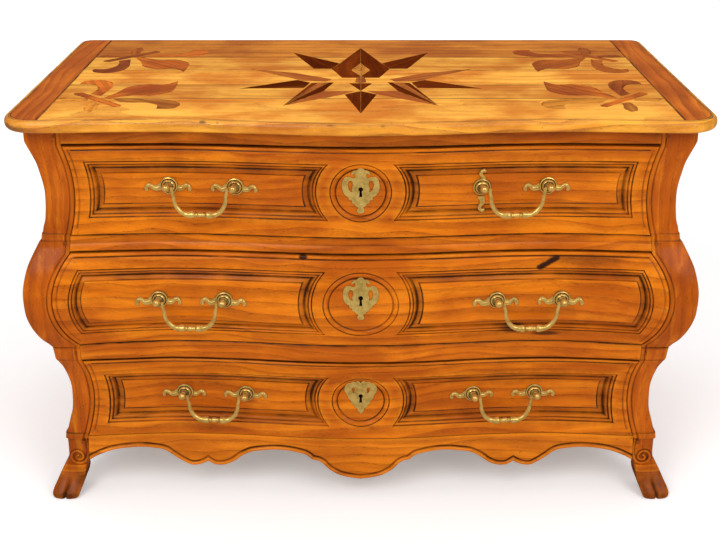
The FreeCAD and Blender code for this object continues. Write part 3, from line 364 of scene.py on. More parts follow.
def woodMaterial(name, look):
    material, tree, shader = newMaterial(name)
    if look["grain"] == "map":                     # each inlay has its own grain, laid by its map
        place = put(tree, "ShaderNodeUVMap", uv_map="grainMap").outputs[0]
        turn = (0, 0, 0)
    else:
        place = put(tree, "ShaderNodeTexCoord").outputs["Object"]
        turn = grainTurns[look["grain"]]
    at = put(tree, "ShaderNodeMapping", {"Vector": place, "Rotation": turn,
                                         "Location": look["shift"]}).outputs[0]
    warp = vectors(tree, "SUBTRACT", {0: noiseOf(tree, at, 2.6, 2.0, output="Color"), 1: (0.5, 0.5, 0.5)})
    warp = vectors(tree, "SCALE", {0: warp, "Scale": look["warp"]})
    bent = vectors(tree, "ADD", {0: at, 1: warp})

    def stretched(lengthways, across):
        return vectors(tree, "MULTIPLY", {0: bent, 1: (lengthways, across, across)})

    rings = put(tree, "ShaderNodeTexWave",
                {"Vector": stretched(0.16, 1.0), "Scale": look["ringScale"], "Distortion": look["ringWave"],
                 "Detail": 2.5, "Detail Scale": 1.1, "Detail Roughness": 0.55},
                wave_type="RINGS", rings_direction="X", wave_profile="SAW").outputs["Fac"]
    rings = maths(tree, "POWER", rings, 2.2)
    streak = noiseOf(tree, stretched(2.2, 46.0), 1.0, 4.0, 0.6)
    fibre = noiseOf(tree, stretched(22.0, 620.0), 1.0, 2.0, 0.7)
    pores = rampOf(tree, noiseOf(tree, stretched(60.0, 1150.0), 1.0, 1.0), 0.60, 0.72)
    cloud = rampOf(tree, noiseOf(tree, at, look["cloudScale"], 3.0, 0.55), 0.37, 0.65)
    colour = blendColour(tree, cloud, look["base"], look["second"])
    colour = blendColour(tree, maths(tree, "MULTIPLY", rings, look["ringShow"]), colour, look["ringColour"])
    colour = blendColour(tree, maths(tree, "MULTIPLY", rampOf(tree, streak, 0.42, 0.74), look["streakShow"]),
                         colour, look["ringColour"])
    colour = blendColour(tree, maths(tree, "MULTIPLY", rampOf(tree, streak, 0.50, 0.26), look["lightShow"]),
                         colour, look["light"])
    colour = blendColour(tree, maths(tree, "MULTIPLY", maths(tree, "MULTIPLY", pores, rings),
                                     look["poreShow"]),
                         colour, look["grime"])
    shade = maths(tree, "MULTIPLY_ADD", fibre, look["fibreShow"], 1.0 - look["fibreShow"] * 0.5)
    colour = vectors(tree, "SCALE", {0: colour, "Scale": shade})
    if look.get("toneShow"):
        tone = maths(tree, "MULTIPLY_ADD", layerOf(tree, "tone"), look["toneShow"],
                     1.0 - look["toneShow"] * 0.5)
        colour = vectors(tree, "SCALE", {0: colour, "Scale": tone})
    patch = noiseOf(tree, at, 34.0, 5.0, 0.65)
    spread = maths(tree, "MULTIPLY_ADD", patch, 0.9, 0.55)
    worn = maths(tree, "MULTIPLY", maths(tree, "MULTIPLY", layerOf(tree, "worn"), spread), look["wornShow"],
                 clamp=True)
    colour = blendColour(tree, worn, colour, look["light"])
    for x, y, z, wide, tall, depth in look.get("marks", ()):      # knots and plugs, each at its own place
        away = vectors(tree, "SUBTRACT", {0: place, 1: (x * mm, y * mm, z * mm)})
        away = vectors(tree, "MULTIPLY", {0: away, 1: (1000 / wide, 1000 / (wide + tall), 1000 / tall)})
        away = vectors(tree, "LENGTH", {0: away}, output=1)
        away = maths(tree, "ADD", away, maths(tree, "MULTIPLY_ADD", patch, 0.8, -0.4))
        colour = blendColour(tree, maths(tree, "MULTIPLY", rampOf(tree, away, 1.0, 0.45), depth), colour,
                             look["grime"])
    # dirt and painted shade: darkening in the hollows and along the grime layer's gaps, grooves and shadowed
    # rows
    dirtAndShade = maths(tree, "MULTIPLY_ADD", layerOf(tree, "hollow"), look["hollowShow"], layerOf(tree, "grime"))
    broken = maths(tree, "MULTIPLY_ADD", rampOf(tree, noiseOf(tree, at, 13.0, 3.0), 0.36, 0.62), 0.5, 0.5)
    dirtAndShade = maths(tree, "MULTIPLY", maths(tree, "MULTIPLY", dirtAndShade, broken), spread, clamp=True)
    dirtAndShade = maths(tree, "MULTIPLY", dirtAndShade, look["dirtShadeShow"], clamp=True)
    speck = rampOf(tree, noiseOf(tree, at, 310.0, 1.0), 0.70, 0.78)
    speck = maths(tree, "MULTIPLY", speck, look.get("speckShow", 0.5))
    dirtAndShade = maths(tree, "MAXIMUM", dirtAndShade, speck)
    colour = blendColour(tree, dirtAndShade, colour, look["grime"])
    if look.get("seams"):                          # the joints between boards laid edge to edge
        start, pitch = look["seams"]
        level = put(tree, "ShaderNodeSeparateXYZ",
                    {0: put(tree, "ShaderNodeTexCoord").outputs["Object"]}).outputs[2]
        share = maths(tree, "DIVIDE", maths(tree, "SUBTRACT", level, start * mm), pitch * mm)
        board = maths(tree, "SINE", maths(tree, "MULTIPLY", maths(tree, "FLOOR", share), 2.4))
        away = maths(tree, "PINGPONG", share, 0.5)
        colour = vectors(tree, "SCALE", {0: colour, "Scale": maths(tree, "MULTIPLY_ADD", board, 0.12, 0.96)})
        colour = blendColour(tree, rampOf(tree, away, 1.3 / pitch, 0.7 / pitch), colour, look["grime"])
    tree.links.new(colour, shader.inputs["Base Color"])
    rough = maths(tree, "MULTIPLY_ADD", streak, 0.16, look["rough"] - 0.08)
    rough = maths(tree, "MULTIPLY_ADD", dirtAndShade, 0.25, rough, clamp=True)
    tree.links.new(rough, shader.inputs["Roughness"])
    height = maths(tree, "MULTIPLY_ADD", fibre, 0.5, maths(tree, "MULTIPLY", pores, -0.6))
    height = maths(tree, "MULTIPLY_ADD", patch, look.get("dents", 0.5), height)
    bump = put(tree, "ShaderNodeBump", {"Height": height, "Strength": look["bump"], "Distance": 0.0006})
    tree.links.new(bump.outputs[0], shader.inputs["Normal"])
    shader.inputs["Coat Weight"].default_value = look["wax"]
    shader.inputs["Coat Roughness"].default_value = 0.2
    shader.inputs["Specular IOR Level"].default_value = look["shine"]
    return material


def lookOf(start, **changes):
    return {**start, **changes}


fruitwood = {
    "grain": "x", "shift": (0.31, 0.07, 0.12), "warp": 0.085,
    "base": (0.74, 0.186, 0.003, 1), "second": (0.52, 0.106, 0.002, 1), "light": (0.92, 0.30, 0.010, 1),
    "ringColour": (0.24, 0.042, 0.002, 1), "grime": (0.024, 0.007, 0.002, 1),
    "ringScale": 15.0, "ringWave": 5.5, "ringShow": 0.48, "streakShow": 0.48, "lightShow": 0.36,
    "poreShow": 0.8, "fibreShow": 0.32, "cloudScale": 6.2, "wornShow": 0.45, "hollowShow": 0.5,
    "dirtShadeShow": 0.92, "rough": 0.42, "bump": 0.38, "wax": 0.15, "shine": 0.05,
}


def markAt(x, z, wide, tall, depth):   # a mark on the chest's front face
    return x, float(frontY(x, z)), z, wide, tall, depth


woodLooks = {
    "drawerUpper": lookOf(fruitwood),
    "drawerMiddle": lookOf(fruitwood, shift=(0.9, 0.19, 0.31), ringScale=13.0, wornShow=0.12,
                           marks=[markAt(351 + 6.4 * k, 527 + 3.5 * k, 10, 6.5, 0.95) for k in range(6)]
                           + [markAt(445, 541, 95, 14, 0.35), markAt(303, 402, 34, 16, 0.8),
                              markAt(369, 388, 36, 8, 0.75), markAt(-112, 553, 11, 7, 0.95)]),
    "drawerLower": lookOf(fruitwood, shift=(1.7, 0.11, 0.57), ringScale=14.0, base=(0.68, 0.165, 0.003, 1)),
    "rail": lookOf(fruitwood, shift=(2.3, 0.3, 0.1), base=(0.74, 0.178, 0.003, 1),
                   second=(0.53, 0.106, 0.002, 1)),
    "post": lookOf(fruitwood, grain="z", shift=(0.5, 0.2, 1.3), warp=0.04, base=(0.55, 0.112, 0.003, 1),
                   second=(0.35, 0.060, 0.002, 1), ringShow=0.40),
    "side": lookOf(fruitwood, grain="z", shift=(1.5, 0.9, 0.3), warp=0.03, base=(0.62, 0.142, 0.003, 1),
                   ringScale=9.0, ringShow=0.28),
    "topPlank": lookOf(fruitwood, grain="map", shift=(0.2, 0.5, 0.9), base=(0.97, 0.45, 0.055, 1),
                       second=(0.66, 0.20, 0.014, 1), light=(1.0, 0.58, 0.12, 1),
                       ringColour=(0.46, 0.118, 0.007, 1),
                       ringScale=10.0, ringShow=0.36, toneShow=0.55, cloudScale=7.5, warp=0.07, shine=0.1,
                       wax=0.02,
                       speckShow=0.8),
    "topBack": lookOf(fruitwood, grain="map", shift=(0.2, 0.5, 0.9), base=(0.78, 0.265, 0.022, 1),
                      second=(0.50, 0.130, 0.009, 1), ringScale=10.0, ringShow=0.4, cloudScale=6.5, warp=0.06,
                      shine=0.1, wax=0.02, speckShow=0.8),
    "topEnd": lookOf(fruitwood, grain="map", shift=(0.4, 0.9, 0.2), base=(0.66, 0.150, 0.006, 1),
                     second=(0.52, 0.105, 0.004, 1), toneShow=0.2, shine=0.1, wax=0.02),
    "nose": lookOf(fruitwood, shift=(0.7, 0.4, 1.9), base=(1.0, 0.43, 0.030, 1),
                   second=(0.68, 0.21, 0.010, 1),
                   light=(1.0, 0.52, 0.10, 1), rough=0.34, wax=0.15, shine=0.25, speckShow=0.8,
                   marks=[(-290, -352, 829, 9, 2.5, 0.7), (-262, -354, 827, 5, 4, 0.6),
                          (-55, -372, 829, 11, 2, 0.6),
                          (40, -374, 828, 9, 3, 0.6), (-626, -316, 816, 50, 13, 0.62),
                          (-540, -331, 812, 40, 3, 0.5)]),
    "apron": lookOf(fruitwood, shift=(3.1, 0.2, 0.6), base=(0.76, 0.205, 0.006, 1),
                    second=(0.58, 0.140, 0.004, 1)),
    "darkInlay": lookOf(fruitwood, grain="map", shift=(0.0, 0.0, 0.0), base=(0.145, 0.0235, 0.003, 1),
                        second=(0.112, 0.0165, 0.003, 1), light=(0.30, 0.060, 0.006, 1),
                        ringColour=(0.06, 0.010, 0.002, 1), toneShow=0.7, ringScale=18.0, shine=0.0, wax=0.0),
    "lightInlay": lookOf(fruitwood, grain="map", shift=(0.3, 0.1, 0.0), base=(0.48, 0.115, 0.008, 1),
                         second=(0.36, 0.075, 0.006, 1), light=(0.70, 0.23, 0.03, 1),
                         ringColour=(0.20, 0.038, 0.004, 1), toneShow=0.5, shine=0.08, wax=0.0),
    "lilyInlay": lookOf(fruitwood, grain="map", shift=(0.6, 0.2, 0.0), base=(0.66, 0.155, 0.008, 1),
                        second=(0.34, 0.058, 0.004, 1), light=(0.60, 0.15, 0.015, 1),
                        ringColour=(0.18, 0.034, 0.003, 1), toneShow=0.7, shine=0.08, wax=0.0),
    "lilyPale": lookOf(fruitwood, grain="map", shift=(0.9, 0.4, 0.0), base=(0.80, 0.29, 0.022, 1),
                       second=(0.42, 0.105, 0.008, 1), light=(0.80, 0.31, 0.04, 1),
                       ringColour=(0.22, 0.045, 0.004, 1), toneShow=0.4, shine=0.08, wax=0.0),
    "secondaryX": lookOf(fruitwood, warp=0.025, base=(0.55, 0.31, 0.120, 1), second=(0.42, 0.22, 0.080, 1),
                         light=(0.60, 0.38, 0.18, 1), ringColour=(0.25, 0.125, 0.05, 1), rough=0.72, wax=0.0,
                         shine=0.1,
                         bump=0.6, shift=(1.1, 0.4, 0.2)),
    "pegEnd": lookOf(fruitwood, grain="z", base=(0.24, 0.060, 0.008, 1), second=(0.18, 0.042, 0.006, 1)),
}
woodLooks["backBoards"] = lookOf(woodLooks["secondaryX"], shift=(0.6, 0.1, 0.8), seams=(120, 172))
woodLooks["secondaryY"] = lookOf(woodLooks["secondaryX"], grain="y", shift=(0.2, 1.4, 0.7))
woods = {name: woodMaterial(name, look) for name, look in woodLooks.items()}

brassLook = {"bright": (0.90, 0.60, 0.155, 1), "dull": (0.60, 0.375, 0.085, 1),
             "grime": (0.040, 0.022, 0.006, 1),
             "rough": 0.32, "metal": 0.7}


def metalMaterial(name, look):
    material, tree, shader = newMaterial(name)
    at = put(tree, "ShaderNodeTexCoord").outputs["Object"]
    cloud = noiseOf(tree, at, 70.0, 4.0, 0.65)
    fine = noiseOf(tree, at, 900.0, 2.0)
    colour = blendColour(tree, rampOf(tree, cloud, 0.40, 0.66), look["bright"], look["dull"])
    colour = blendColour(tree, maths(tree, "MULTIPLY", layerOf(tree, "worn"), 0.8, clamp=True), colour,
                         look["bright"])
    # tarnish in the hollows, plus painted shade where the grime layer marks it, such as round the rosettes'
    # balls
    dirtAndShade = maths(tree, "MULTIPLY_ADD", layerOf(tree, "hollow"), 1.4, layerOf(tree, "grime"))
    dirtAndShade = maths(tree, "MULTIPLY", dirtAndShade, maths(tree, "MULTIPLY_ADD", cloud, 0.8, 0.6), clamp=True)
    colour = blendColour(tree, dirtAndShade, colour, look["grime"])
    tree.links.new(colour, shader.inputs["Base Color"])
    rough = maths(tree, "MULTIPLY_ADD", cloud, 0.24, look["rough"] - 0.12)
    rough = maths(tree, "MULTIPLY_ADD", dirtAndShade, 0.3, rough, clamp=True)
    tree.links.new(rough, shader.inputs["Roughness"])
    bump = put(tree, "ShaderNodeBump", {"Height": maths(tree, "MULTIPLY_ADD", fine, 0.3, cloud),
                                        "Strength": 0.18,
                                        "Distance": 0.0004})
    tree.links.new(bump.outputs[0], shader.inputs["Normal"])
    shader.inputs["Metallic"].default_value = look["metal"]
    return material


brass = metalMaterial("agedBrass", brassLook)
iron = metalMaterial("wroughtIron", {"bright": (0.16, 0.145, 0.13, 1), "dull": (0.09, 0.075, 0.065, 1),
                                     "grime": (0.05, 0.028, 0.016, 1), "rough": 0.5, "metal": 1.0})
print("materials made")

# ---- what follows a path or repeats: two node trees

def newTree(name, inputs):
    tree = bpy.data.node_groups.new(name, "GeometryNodeTree")
    tree.interface.new_socket("Geometry", in_out="INPUT", socket_type="NodeSocketGeometry")
    for label, kind, value in inputs:
        socket = tree.interface.new_socket(label, in_out="INPUT", socket_type=kind)
        if value is not None:
            socket.default_value = value
    tree.interface.new_socket("Geometry", in_out="OUTPUT", socket_type="NodeSocketGeometry")
    return tree, put(tree, "NodeGroupInput"), put(tree, "NodeGroupOutput")


def sweptBarTree():        # a round bar along each drawn line, as thick as its "thickness" says
    tree, start, end = newTree("sweptBar", [("Sides", "NodeSocketInt", 12),
                                            ("Finish", "NodeSocketMaterial", None)])
    line = put(tree, "GeometryNodeMeshToCurve", {"Mesh": start.outputs["Geometry"]})
    thick = put(tree, "GeometryNodeInputNamedAttribute", {"Name": "thickness"}, data_type="FLOAT")
    line = put(tree, "GeometryNodeSetCurveRadius", {"Curve": line.outputs[0], "Radius": thick.outputs[0]})
    ring = put(tree, "GeometryNodeCurvePrimitiveCircle",
               {"Resolution": start.outputs["Sides"], "Radius": 1.0})
    swept = put(tree, "GeometryNodeCurveToMesh", {"Curve": line.outputs[0], "Profile Curve": ring.outputs[0],
                                                  "Fill Caps": True})
    if "Scale" in swept.inputs:
        tree.links.new(thick.outputs[0], swept.inputs["Scale"])
    real = put(tree, "GeometryNodeRealizeInstances", {"Geometry": swept.outputs[0]})
    done = put(tree, "GeometryNodeSetMaterial", {"Geometry": real.outputs[0],
                                                 "Material": start.outputs["Finish"]})
    tree.links.new(done.outputs[0], end.inputs[0])
    return tree


def headedPinTree():       # a domed pin head on each point, facing along its "aim"
    tree, start, end = newTree("headedPins", [("Head Radius", "NodeSocketFloat", 0.0016),
                                              ("Head Height", "NodeSocketFloat", 0.0009),
                                              ("Finish", "NodeSocketMaterial", None)])
    dome = put(tree, "GeometryNodeMeshUVSphere", {"Segments": 12, "Rings": 8,
                                                  "Radius": start.outputs["Head Radius"]})
    flat = maths(tree, "DIVIDE", start.outputs["Head Height"], start.outputs["Head Radius"])
    size = put(tree, "ShaderNodeCombineXYZ", {0: 1.0, 1: 1.0, 2: flat})
    aim = put(tree, "GeometryNodeInputNamedAttribute", {"Name": "aim"}, data_type="FLOAT_VECTOR")
    turn = put(tree, "FunctionNodeAlignRotationToVector", {"Vector": aim.outputs[0]}, axis="Z")
    placed = put(tree, "GeometryNodeInstanceOnPoints",
                 {"Points": start.outputs["Geometry"], "Instance": dome.outputs[0],
                                                        "Rotation": turn.outputs[0],
                                                        "Scale": size.outputs[0]})
    real = put(tree, "GeometryNodeRealizeInstances", {"Geometry": placed.outputs[0]})
    done = put(tree, "GeometryNodeSetMaterial", {"Geometry": real.outputs[0],
                                                 "Material": start.outputs["Finish"]})
    tree.links.new(done.outputs[0], end.inputs[0])
    return tree


sweptBar, headedPins = sweptBarTree(), headedPinTree()


def throughTree(name, seedMesh, tree, values):     # runs the tree on the mesh and keeps the plain result
    draft = bpy.data.objects.new(name + "Draft", seedMesh)
    bpy.context.scene.collection.objects.link(draft)
    maker = draft.modifiers.new("maker", "NODES")
    maker.node_group = tree
    for item in tree.interface.items_tree:
        if item.in_out == "INPUT" and item.name in values:
            maker[item.identifier] = values[item.name]
    bpy.context.view_layer.update()
    ready = draft.evaluated_get(bpy.context.evaluated_depsgraph_get())
    mesh = bpy.data.meshes.new_from_object(ready)
    draft.modifiers.remove(maker)
    bpy.data.objects.remove(draft)
    mesh.name = name
    obj = bpy.data.objects.new(name, mesh)
    bpy.context.scene.collection.objects.link(obj)
    return obj


def sweptPiece(name, runs, sides, material, bodyName, replaced=()):
    # runs: lists of (x, y, z, radius) in mm
    mesh = bpy.data.meshes.new(name + "Lines")
    points, edges, radii = [], [], []
    for run in runs:
        start = len(points)
        points += [(x * mm, y * mm, z * mm) for x, y, z, r in run]
        radii += [r * mm for x, y, z, r in run]
        edges += [(start + i, start + i + 1) for i in range(len(run) - 1)]
    mesh.from_pydata(points, edges, [])
    addLayer(mesh, "thickness", radii)
    obj = throughTree(name, mesh, sweptBar, {"Sides": sides, "Finish": material})
    work = bmesh.new()
    work.from_mesh(obj.data)
    bmesh.ops.recalc_face_normals(work, faces=work.faces)
    work.to_mesh(obj.data)
    work.free()
    finishMesh(obj, 50)
    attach(obj, bodyName)
    if replaced:
        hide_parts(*replaced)
    return obj


print("node trees made")

# ---- drawer fronts

frontCarving = {
    # across each moulding: how far in (mm, or share of the way), depth, grime and painted shade; the dark
    # rows at the lip's edge paint the shade of the gap round the drawer
    "lip": [(0.0, 9.0, 1.0), (0.0, 2.8, 0.9), (0.35, 1.3, 0.4), (1.3, 0.3, 0.0), (2.9, -0.3, 0.0),
            (5.0, 0.0, 0.0),
            (6.4, 1.0, 0.2), (7.4, 2.4, 0.8), (8.3, 2.9, 1.0), (9.0, 2.6, 0.9), (9.8, 1.7, 0.4),
            (10.8, 1.25, 0.0), (12.5, 1.2, 0.0)],
    "panel": [(0.0, 1.2, 0.2), (0.02, 2.8, 0.9), (0.05, 3.3, 1.0), (0.075, 2.7, 0.8), (0.10, 1.6, 0.3),
              (0.14, 1.0, 0.0), (0.19, 1.1, 0.1), (0.225, 1.8, 0.4), (0.25, 3.4, 1.0), (0.28, 3.8, 1.0),
              (0.31, 3.0, 0.6), (0.36, 2.8, 0.3), (0.42, 3.6, 0.4), (0.47, 5.2, 0.6), (0.51, 7.0, 0.9),
              (0.53, 8.2, 1.0), (0.575, 8.6, 1.0), (0.60, 8.1, 1.0), (0.62, 6.9, 0.7), (0.66, 6.2, 0.45),
              (0.78, 5.5, 0.35), (0.865, 5.0, 0.3), (0.895, 4.8, 0.9), (0.935, 4.7, 1.0), (0.955, 3.2, 0.9),
              (0.975, 2.0, 0.3), (1.0, 1.7, 0.0)],
    "roundel": [(0.0, 1.2, 0.1), (0.5, 2.5, 0.8), (1.2, 2.9, 1.0), (1.9, 2.3, 0.6), (2.6, 1.3, 0.1),
                (4.0, 0.8, 0.0),
                (5.6, 0.9, 0.0), (7.4, 1.6, 0.0), (9.2, 2.9, 0.1), (10.5, 4.3, 0.5), (11.2, 5.2, 1.0),
                (12.0, 5.3, 1.0), (12.6, 4.4, 0.7), (13.3, 3.6, 0.2), (14.6, 3.3, 0.0)],
    # painted shade weights for each run of the panel moulding and of the field's edge: along the foot, up the
    # outer end, over the top, down the inner end
    "panelShade": (0.7, 1.3, 1.05, 1.3),
    "fieldShade": (1.5, 1.2, 0.6, 1.2),
    "lipShare": (0.0, 0.55, 1.0, 0.55),       # the bead runs along the top and fades down the ends
    "gap": {"upper": 2.0, "middle": 0.6, "lower": 2.0}, "foot": {"upper": 0.6, "middle": 1.7, "lower": 0.6},
    "ground": 1.2, "fieldFrom": 0.88, "fieldDepth": 1.7, "dishDepth": 3.3, "fillGap": 10.5,
}


def faceRing(low, high, ends, inner, side, level, upright):
    # anticlockwise from the front: along the base, up the outer end, back, down the inner end
    t = np.arange(level) / level
    u = np.arange(upright) / upright
    rise, belly = ends[2] - ends[0], ends[1] - (ends[0] + ends[2]) / 2
    outerAt = lambda v: ends[0] + rise * v + belly * 4 * v * (1 - v)
    startX, stopX = inner(low), inner(high)
    base = np.c_[startX + (ends[0] - startX) * t, np.full(level, low)]
    outer = np.c_[outerAt(u), low + (high - low) * u]
    top = np.c_[ends[2] + (stopX - ends[2]) * t, np.full(level, high)]
    back = high + (low - high) * u
    innerRun = np.c_[[inner(z) for z in back], back]
    ring = np.vstack([base, outer, top, innerRun]).astype(float)
    if side < 0:
        ring = np.c_[-ring[:, 0], ring[:, 1]][::-1]
    return ring


def circleX(radius, centre):
    return lambda z: math.sqrt(max(radius ** 2 - (z - centre) ** 2, 1.0))


def keyRing(z, gap=0.8):   # the keyhole, clockwise from the front, so its walls face inwards
    angles = np.radians(np.arange(-66, 247, 13))
    round_ = np.c_[4.4 * np.cos(angles), z + 4.4 * np.sin(angles)]
    return np.vstack([round_, [(-2.2, z - 9), (-2.8, z - 15.5), (2.8, z - 15.5), (2.2, z - 9)]])[::-1]


def onFront(points, depth):
    x, z = np.asarray(points, float).T
    return np.c_[x, frontY(x, z) + ripple(x, z) + depth, z]


def makeDrawerFront(name):
    d, c = drawers[name], frontCarving
    skin = Skin()
    base, top = d["base"] + c["foot"][name], d["top"] - c["gap"][name]
    low, middle, high = d["arc"]
    bend = lambda v: low + (high - low) * v + (middle - (low + high) / 2) * 4 * v * (1 - v)
    u = np.arange(44) / 44
    t = np.arange(150) / 150
    right = np.c_[bend(u), base + (top - base) * u]
    outline = np.vstack([np.c_[-low + 2 * low * t, np.full(150, base)], right,
                         np.c_[high - 2 * high * t, np.full(150, top)],
                         np.c_[-bend(1 - u), top + (base - top) * u]])
    backY = cornerLine + d["back"] - 0.5
    backRing = np.c_[outline[:, 0], np.full(len(outline), backY), outline[:, 1]]
    steps = [(backRing, 0.0), (onFront(outline, c["lip"][0][1]), 0.5)]
    share = np.repeat(c["lipShare"], [150, 44, 150, 44])
    for inset, depth, grime in c["lip"][1:]:
        if inset > 1.2:
            steps.append((onFront(insetRing(outline, inset), c["ground"] + (depth - c["ground"]) * share),
                          (grime * share).tolist()))
        else:
            steps.append((onFront(insetRing(outline, inset), depth), grime))
    ids = skin.rings(steps)
    skin.cap(ids[0], flip=True)
    holes = []
    for side in (-1, 1):
        outer = faceRing(*d["panel"], d["panelEnds"], circleX(d["ring"], d["centre"]), side, 60, 24)
        inner = faceRing(*d["field"], d["fieldEnds"], circleX(d["ring"] + 29, d["centre"]), side, 60, 24)
        shades = [np.repeat(c[key], [60, 24, 60, 24])[::side] for key in ("panelShade", "fieldShade")]
        skin.rings([(onFront(outer + (inner - outer) * share, depth),
                     np.clip(shades[share > c["fieldFrom"]] * grime, 0, 1).tolist())
                    for share, depth, grime in c["panel"]])
        skin.fill(onFront, inner, [], c["fillGap"], c["fieldDepth"])
        holes.append(outer)
    wide, tall = d["roundel"]
    angles = np.arange(112) * 2 * np.pi / 112
    circle = np.c_[wide * np.cos(angles), d["centre"] + tall * np.sin(angles)]
    skin.rings([(onFront(insetRing(circle, inset), depth), grime) for inset, depth, grime in c["roundel"]])
    holes.append(circle)
    dish = insetRing(circle, c["roundel"][-1][0])
    key = keyRing(d["keyZ"])
    # the keyhole's walls are painted dark as the shade inside it
    wall = skin.rings([(onFront(key, c["dishDepth"] + 22), 1.0), (onFront(key, c["dishDepth"] + 2), 1.0),
                       (onFront(key, c["dishDepth"]), 1.0)])
    skin.cap(wall[0])
    skin.fill(onFront, dish, [key], 7.0, c["dishDepth"])
    skin.fill(onFront, insetRing(outline, c["lip"][-1][0]), holes, c["fillGap"], c["ground"])
    title = name.capitalize()
    return makePiece("drawerFront" + title, skin, woods["drawer" + title], "drawer_" + name,
                     ["drawer_%s_front" % name])


for name in drawers:
    makeDrawerFront(name)
print("drawer fronts carved")

# ---- front posts with their collars, scrolls and hoof feet

postShape = {
    "halfWidths": [(136.6, 615.4), (137, 617.2), (148, 616.2), (148.6, 614.0), (163, 609.5), (183, 604.2),
                   (196, 600.3),
                   (210, 598.3), (232, 597), (254, 596.3), (270, 597.9), (286, 600.8), (302, 604),
                   (310, 606.3),
                   (318, 609.6), (326.4, 613.0), (327.2, 615.6), (339, 615.6), (350, 616.0), (360.2, 616.8),
                   (361.2, 615.6), (362.4, 618.6), (370, 623), (377, 629), (385, 634.5), (399, 642),
                   (413, 648.5),
                   (426, 653.3), (438, 656.5), (451, 658), (468, 659.3), (485, 659.4), (502, 657),
                   (519, 653.2),
                   (534, 648.6), (550, 641.1), (566, 632.8), (576.6, 627.0), (578.0, 625.4), (579.2, 622.4),
                   (593.4, 620.8), (594.6, 619.0), (605, 617.4), (617, 613.6), (635, 611.2), (653, 609.8),
                   (677, 609.2),
                   (696, 611), (715, 614), (733, 617), (746, 620.7), (759, 625.3), (771, 630.2),
                   (778.4, 633.2),
                   (779.4, 634), (808, 634)],
    "bands": [(137.0, 148.0), (327.2, 360.6), (579.0, 593.6)], "bandProud": 2.0,
    "leg": [   # height, inner and outer X, front and back from the corner line
        (136.2, 569.2, 615.8, 45.2, 125), (120, 569.0, 615.7, 46.6, 125), (105, 569.2, 616.2, 48.0, 125),
        (92, 570.4, 616.8, 48.6, 124.6), (84, 573.6, 618.0, 49.0, 124), (77, 577.0, 620.0, 50.4, 120),
        (72, 579.2, 622.4, 52.4, 115), (68, 580.8, 625.2, 54.2, 111), (65, 581.6, 626.8, 54.8, 109.6),
        (64, 581.4, 628.6, 52.6, 109), (57, 582.4, 632.2, 49.6, 107), (50.6, 583.4, 635.6, 47.2, 105.2),
        (49.6, 584.6, 635.0, 48.6, 104.4), (44.6, 585.2, 637.8, 45.8, 103), (43.6, 584.2, 639.0, 43.6, 102.4),
        (36, 585.6, 642.4, 39.4, 100), (30, 587.0, 645.4, 36.0, 98), (22, 590.4, 649.6, 30.0, 95),
        (14, 594.0, 652.6, 24.2, 92), (11.4, 594.9, 653.0, 22.4, 91.4), (7, 596.6, 652.4, 20.2, 90.4),
        (4, 598.0, 650.8, 19.4, 90), (1.4, 600.6, 648.0, 20.2, 88), (0, 604.0, 644.0, 22.6, 86)],
}


scroll = {"line": [(575.4, 137), (573.3, 122.7), (572.1, 107.3), (573.8, 94.1), (578.4, 81.6), (585.6, 72.5),
                   (594.6, 69.2), (603.4, 72.1), (609, 80.2), (609.6, 90.4), (604.4, 98.9), (596, 101.6),
                   (588.4, 97.6), (585, 89.9), (587.6, 82.4), (593.8, 79.8), (599.2, 83.3), (598.6, 89.5),
                   (594.6, 91)],
          "wide": 3.3, "proud": 1.6,
          "front": ([65, 68, 72, 77, 84, 92, 105, 120, 137],
                    [54.8, 54.2, 52.4, 50.4, 49, 48.6, 48, 46.6, 45.2])}


def steppedAt(points, at):         # straight between stations, so a step stays crisp
    xs, ys = np.asarray(points, float).T
    return float(np.interp(at, xs, ys))


def smoothHalf(z):                 # smooth between collars, crisp at them
    if any(low - 2.6 < z < high + 2.6 for low, high in postShape["bands"]):
        return steppedAt(postShape["halfWidths"], z)
    return float(along(postShape["halfWidths"], z))


def inBand(z):
    return any(low <= z <= high for low, high in postShape["bands"])


def postRing(z):
    e = openingHalf(z) + 1.0
    f = float(frontY(e, z)) - cornerLine
    out = smoothHalf(z)
    proud = postShape["bandProud"] if inBand(z) else 0.0
    ring = [(e, 125, 0), (e, f + 60, 0), (e, f + 30, 0.4), (e, f + 12, 0.8), (e, f + 3, 0.5),
            (e + 0.5, f + 0.4, 0.1),
            (e + 2.0, f - 1.2, 0), (e + 4.4, f - 1.7, 0), (e + 6.6, f - 1.2, 0), (e + 8.0, f + 0.1, 0.25),
            (e + 8.7, f + 0.9, 0.5), (e + 9.5, f + 0.9, 0.5), (e + 10.3, f + 0.2, 0.25),
            (e + 11.2, f - 0.6, 0)]
    ax, ay, bx, by = e + 12.4, f - 1.0, out - 5.4, f + 0.4
    for k in range(19):
        s = k / 18
        ring.append((ax + (bx - ax) * s, ay + (by - ay) * s - 0.8 * math.sin(math.pi * s) - proud, 0))
    ring += [(out - 3.0, f + 1.3 - proud, 0), (out - 1.3, f + 3.0 - proud * 0.5, 0), (out - 0.35, f + 5.2, 0),
             (out, f + 8.4, 0)]
    ring += [(out - 0.2 - 2.6 * s, f + 10 + (111 - f) * s, 0) for s in (0.1, 0.3, 0.5, 0.7, 0.9, 1.0)]
    ring += [(out - 4, 124.4, 0), (out - 6, 125, 0.3), (out * 0.6 + e * 0.4, 125, 0.3),
             (out * 0.3 + e * 0.7, 125, 0.3),
             (e + 3, 125, 0)]
    return ring


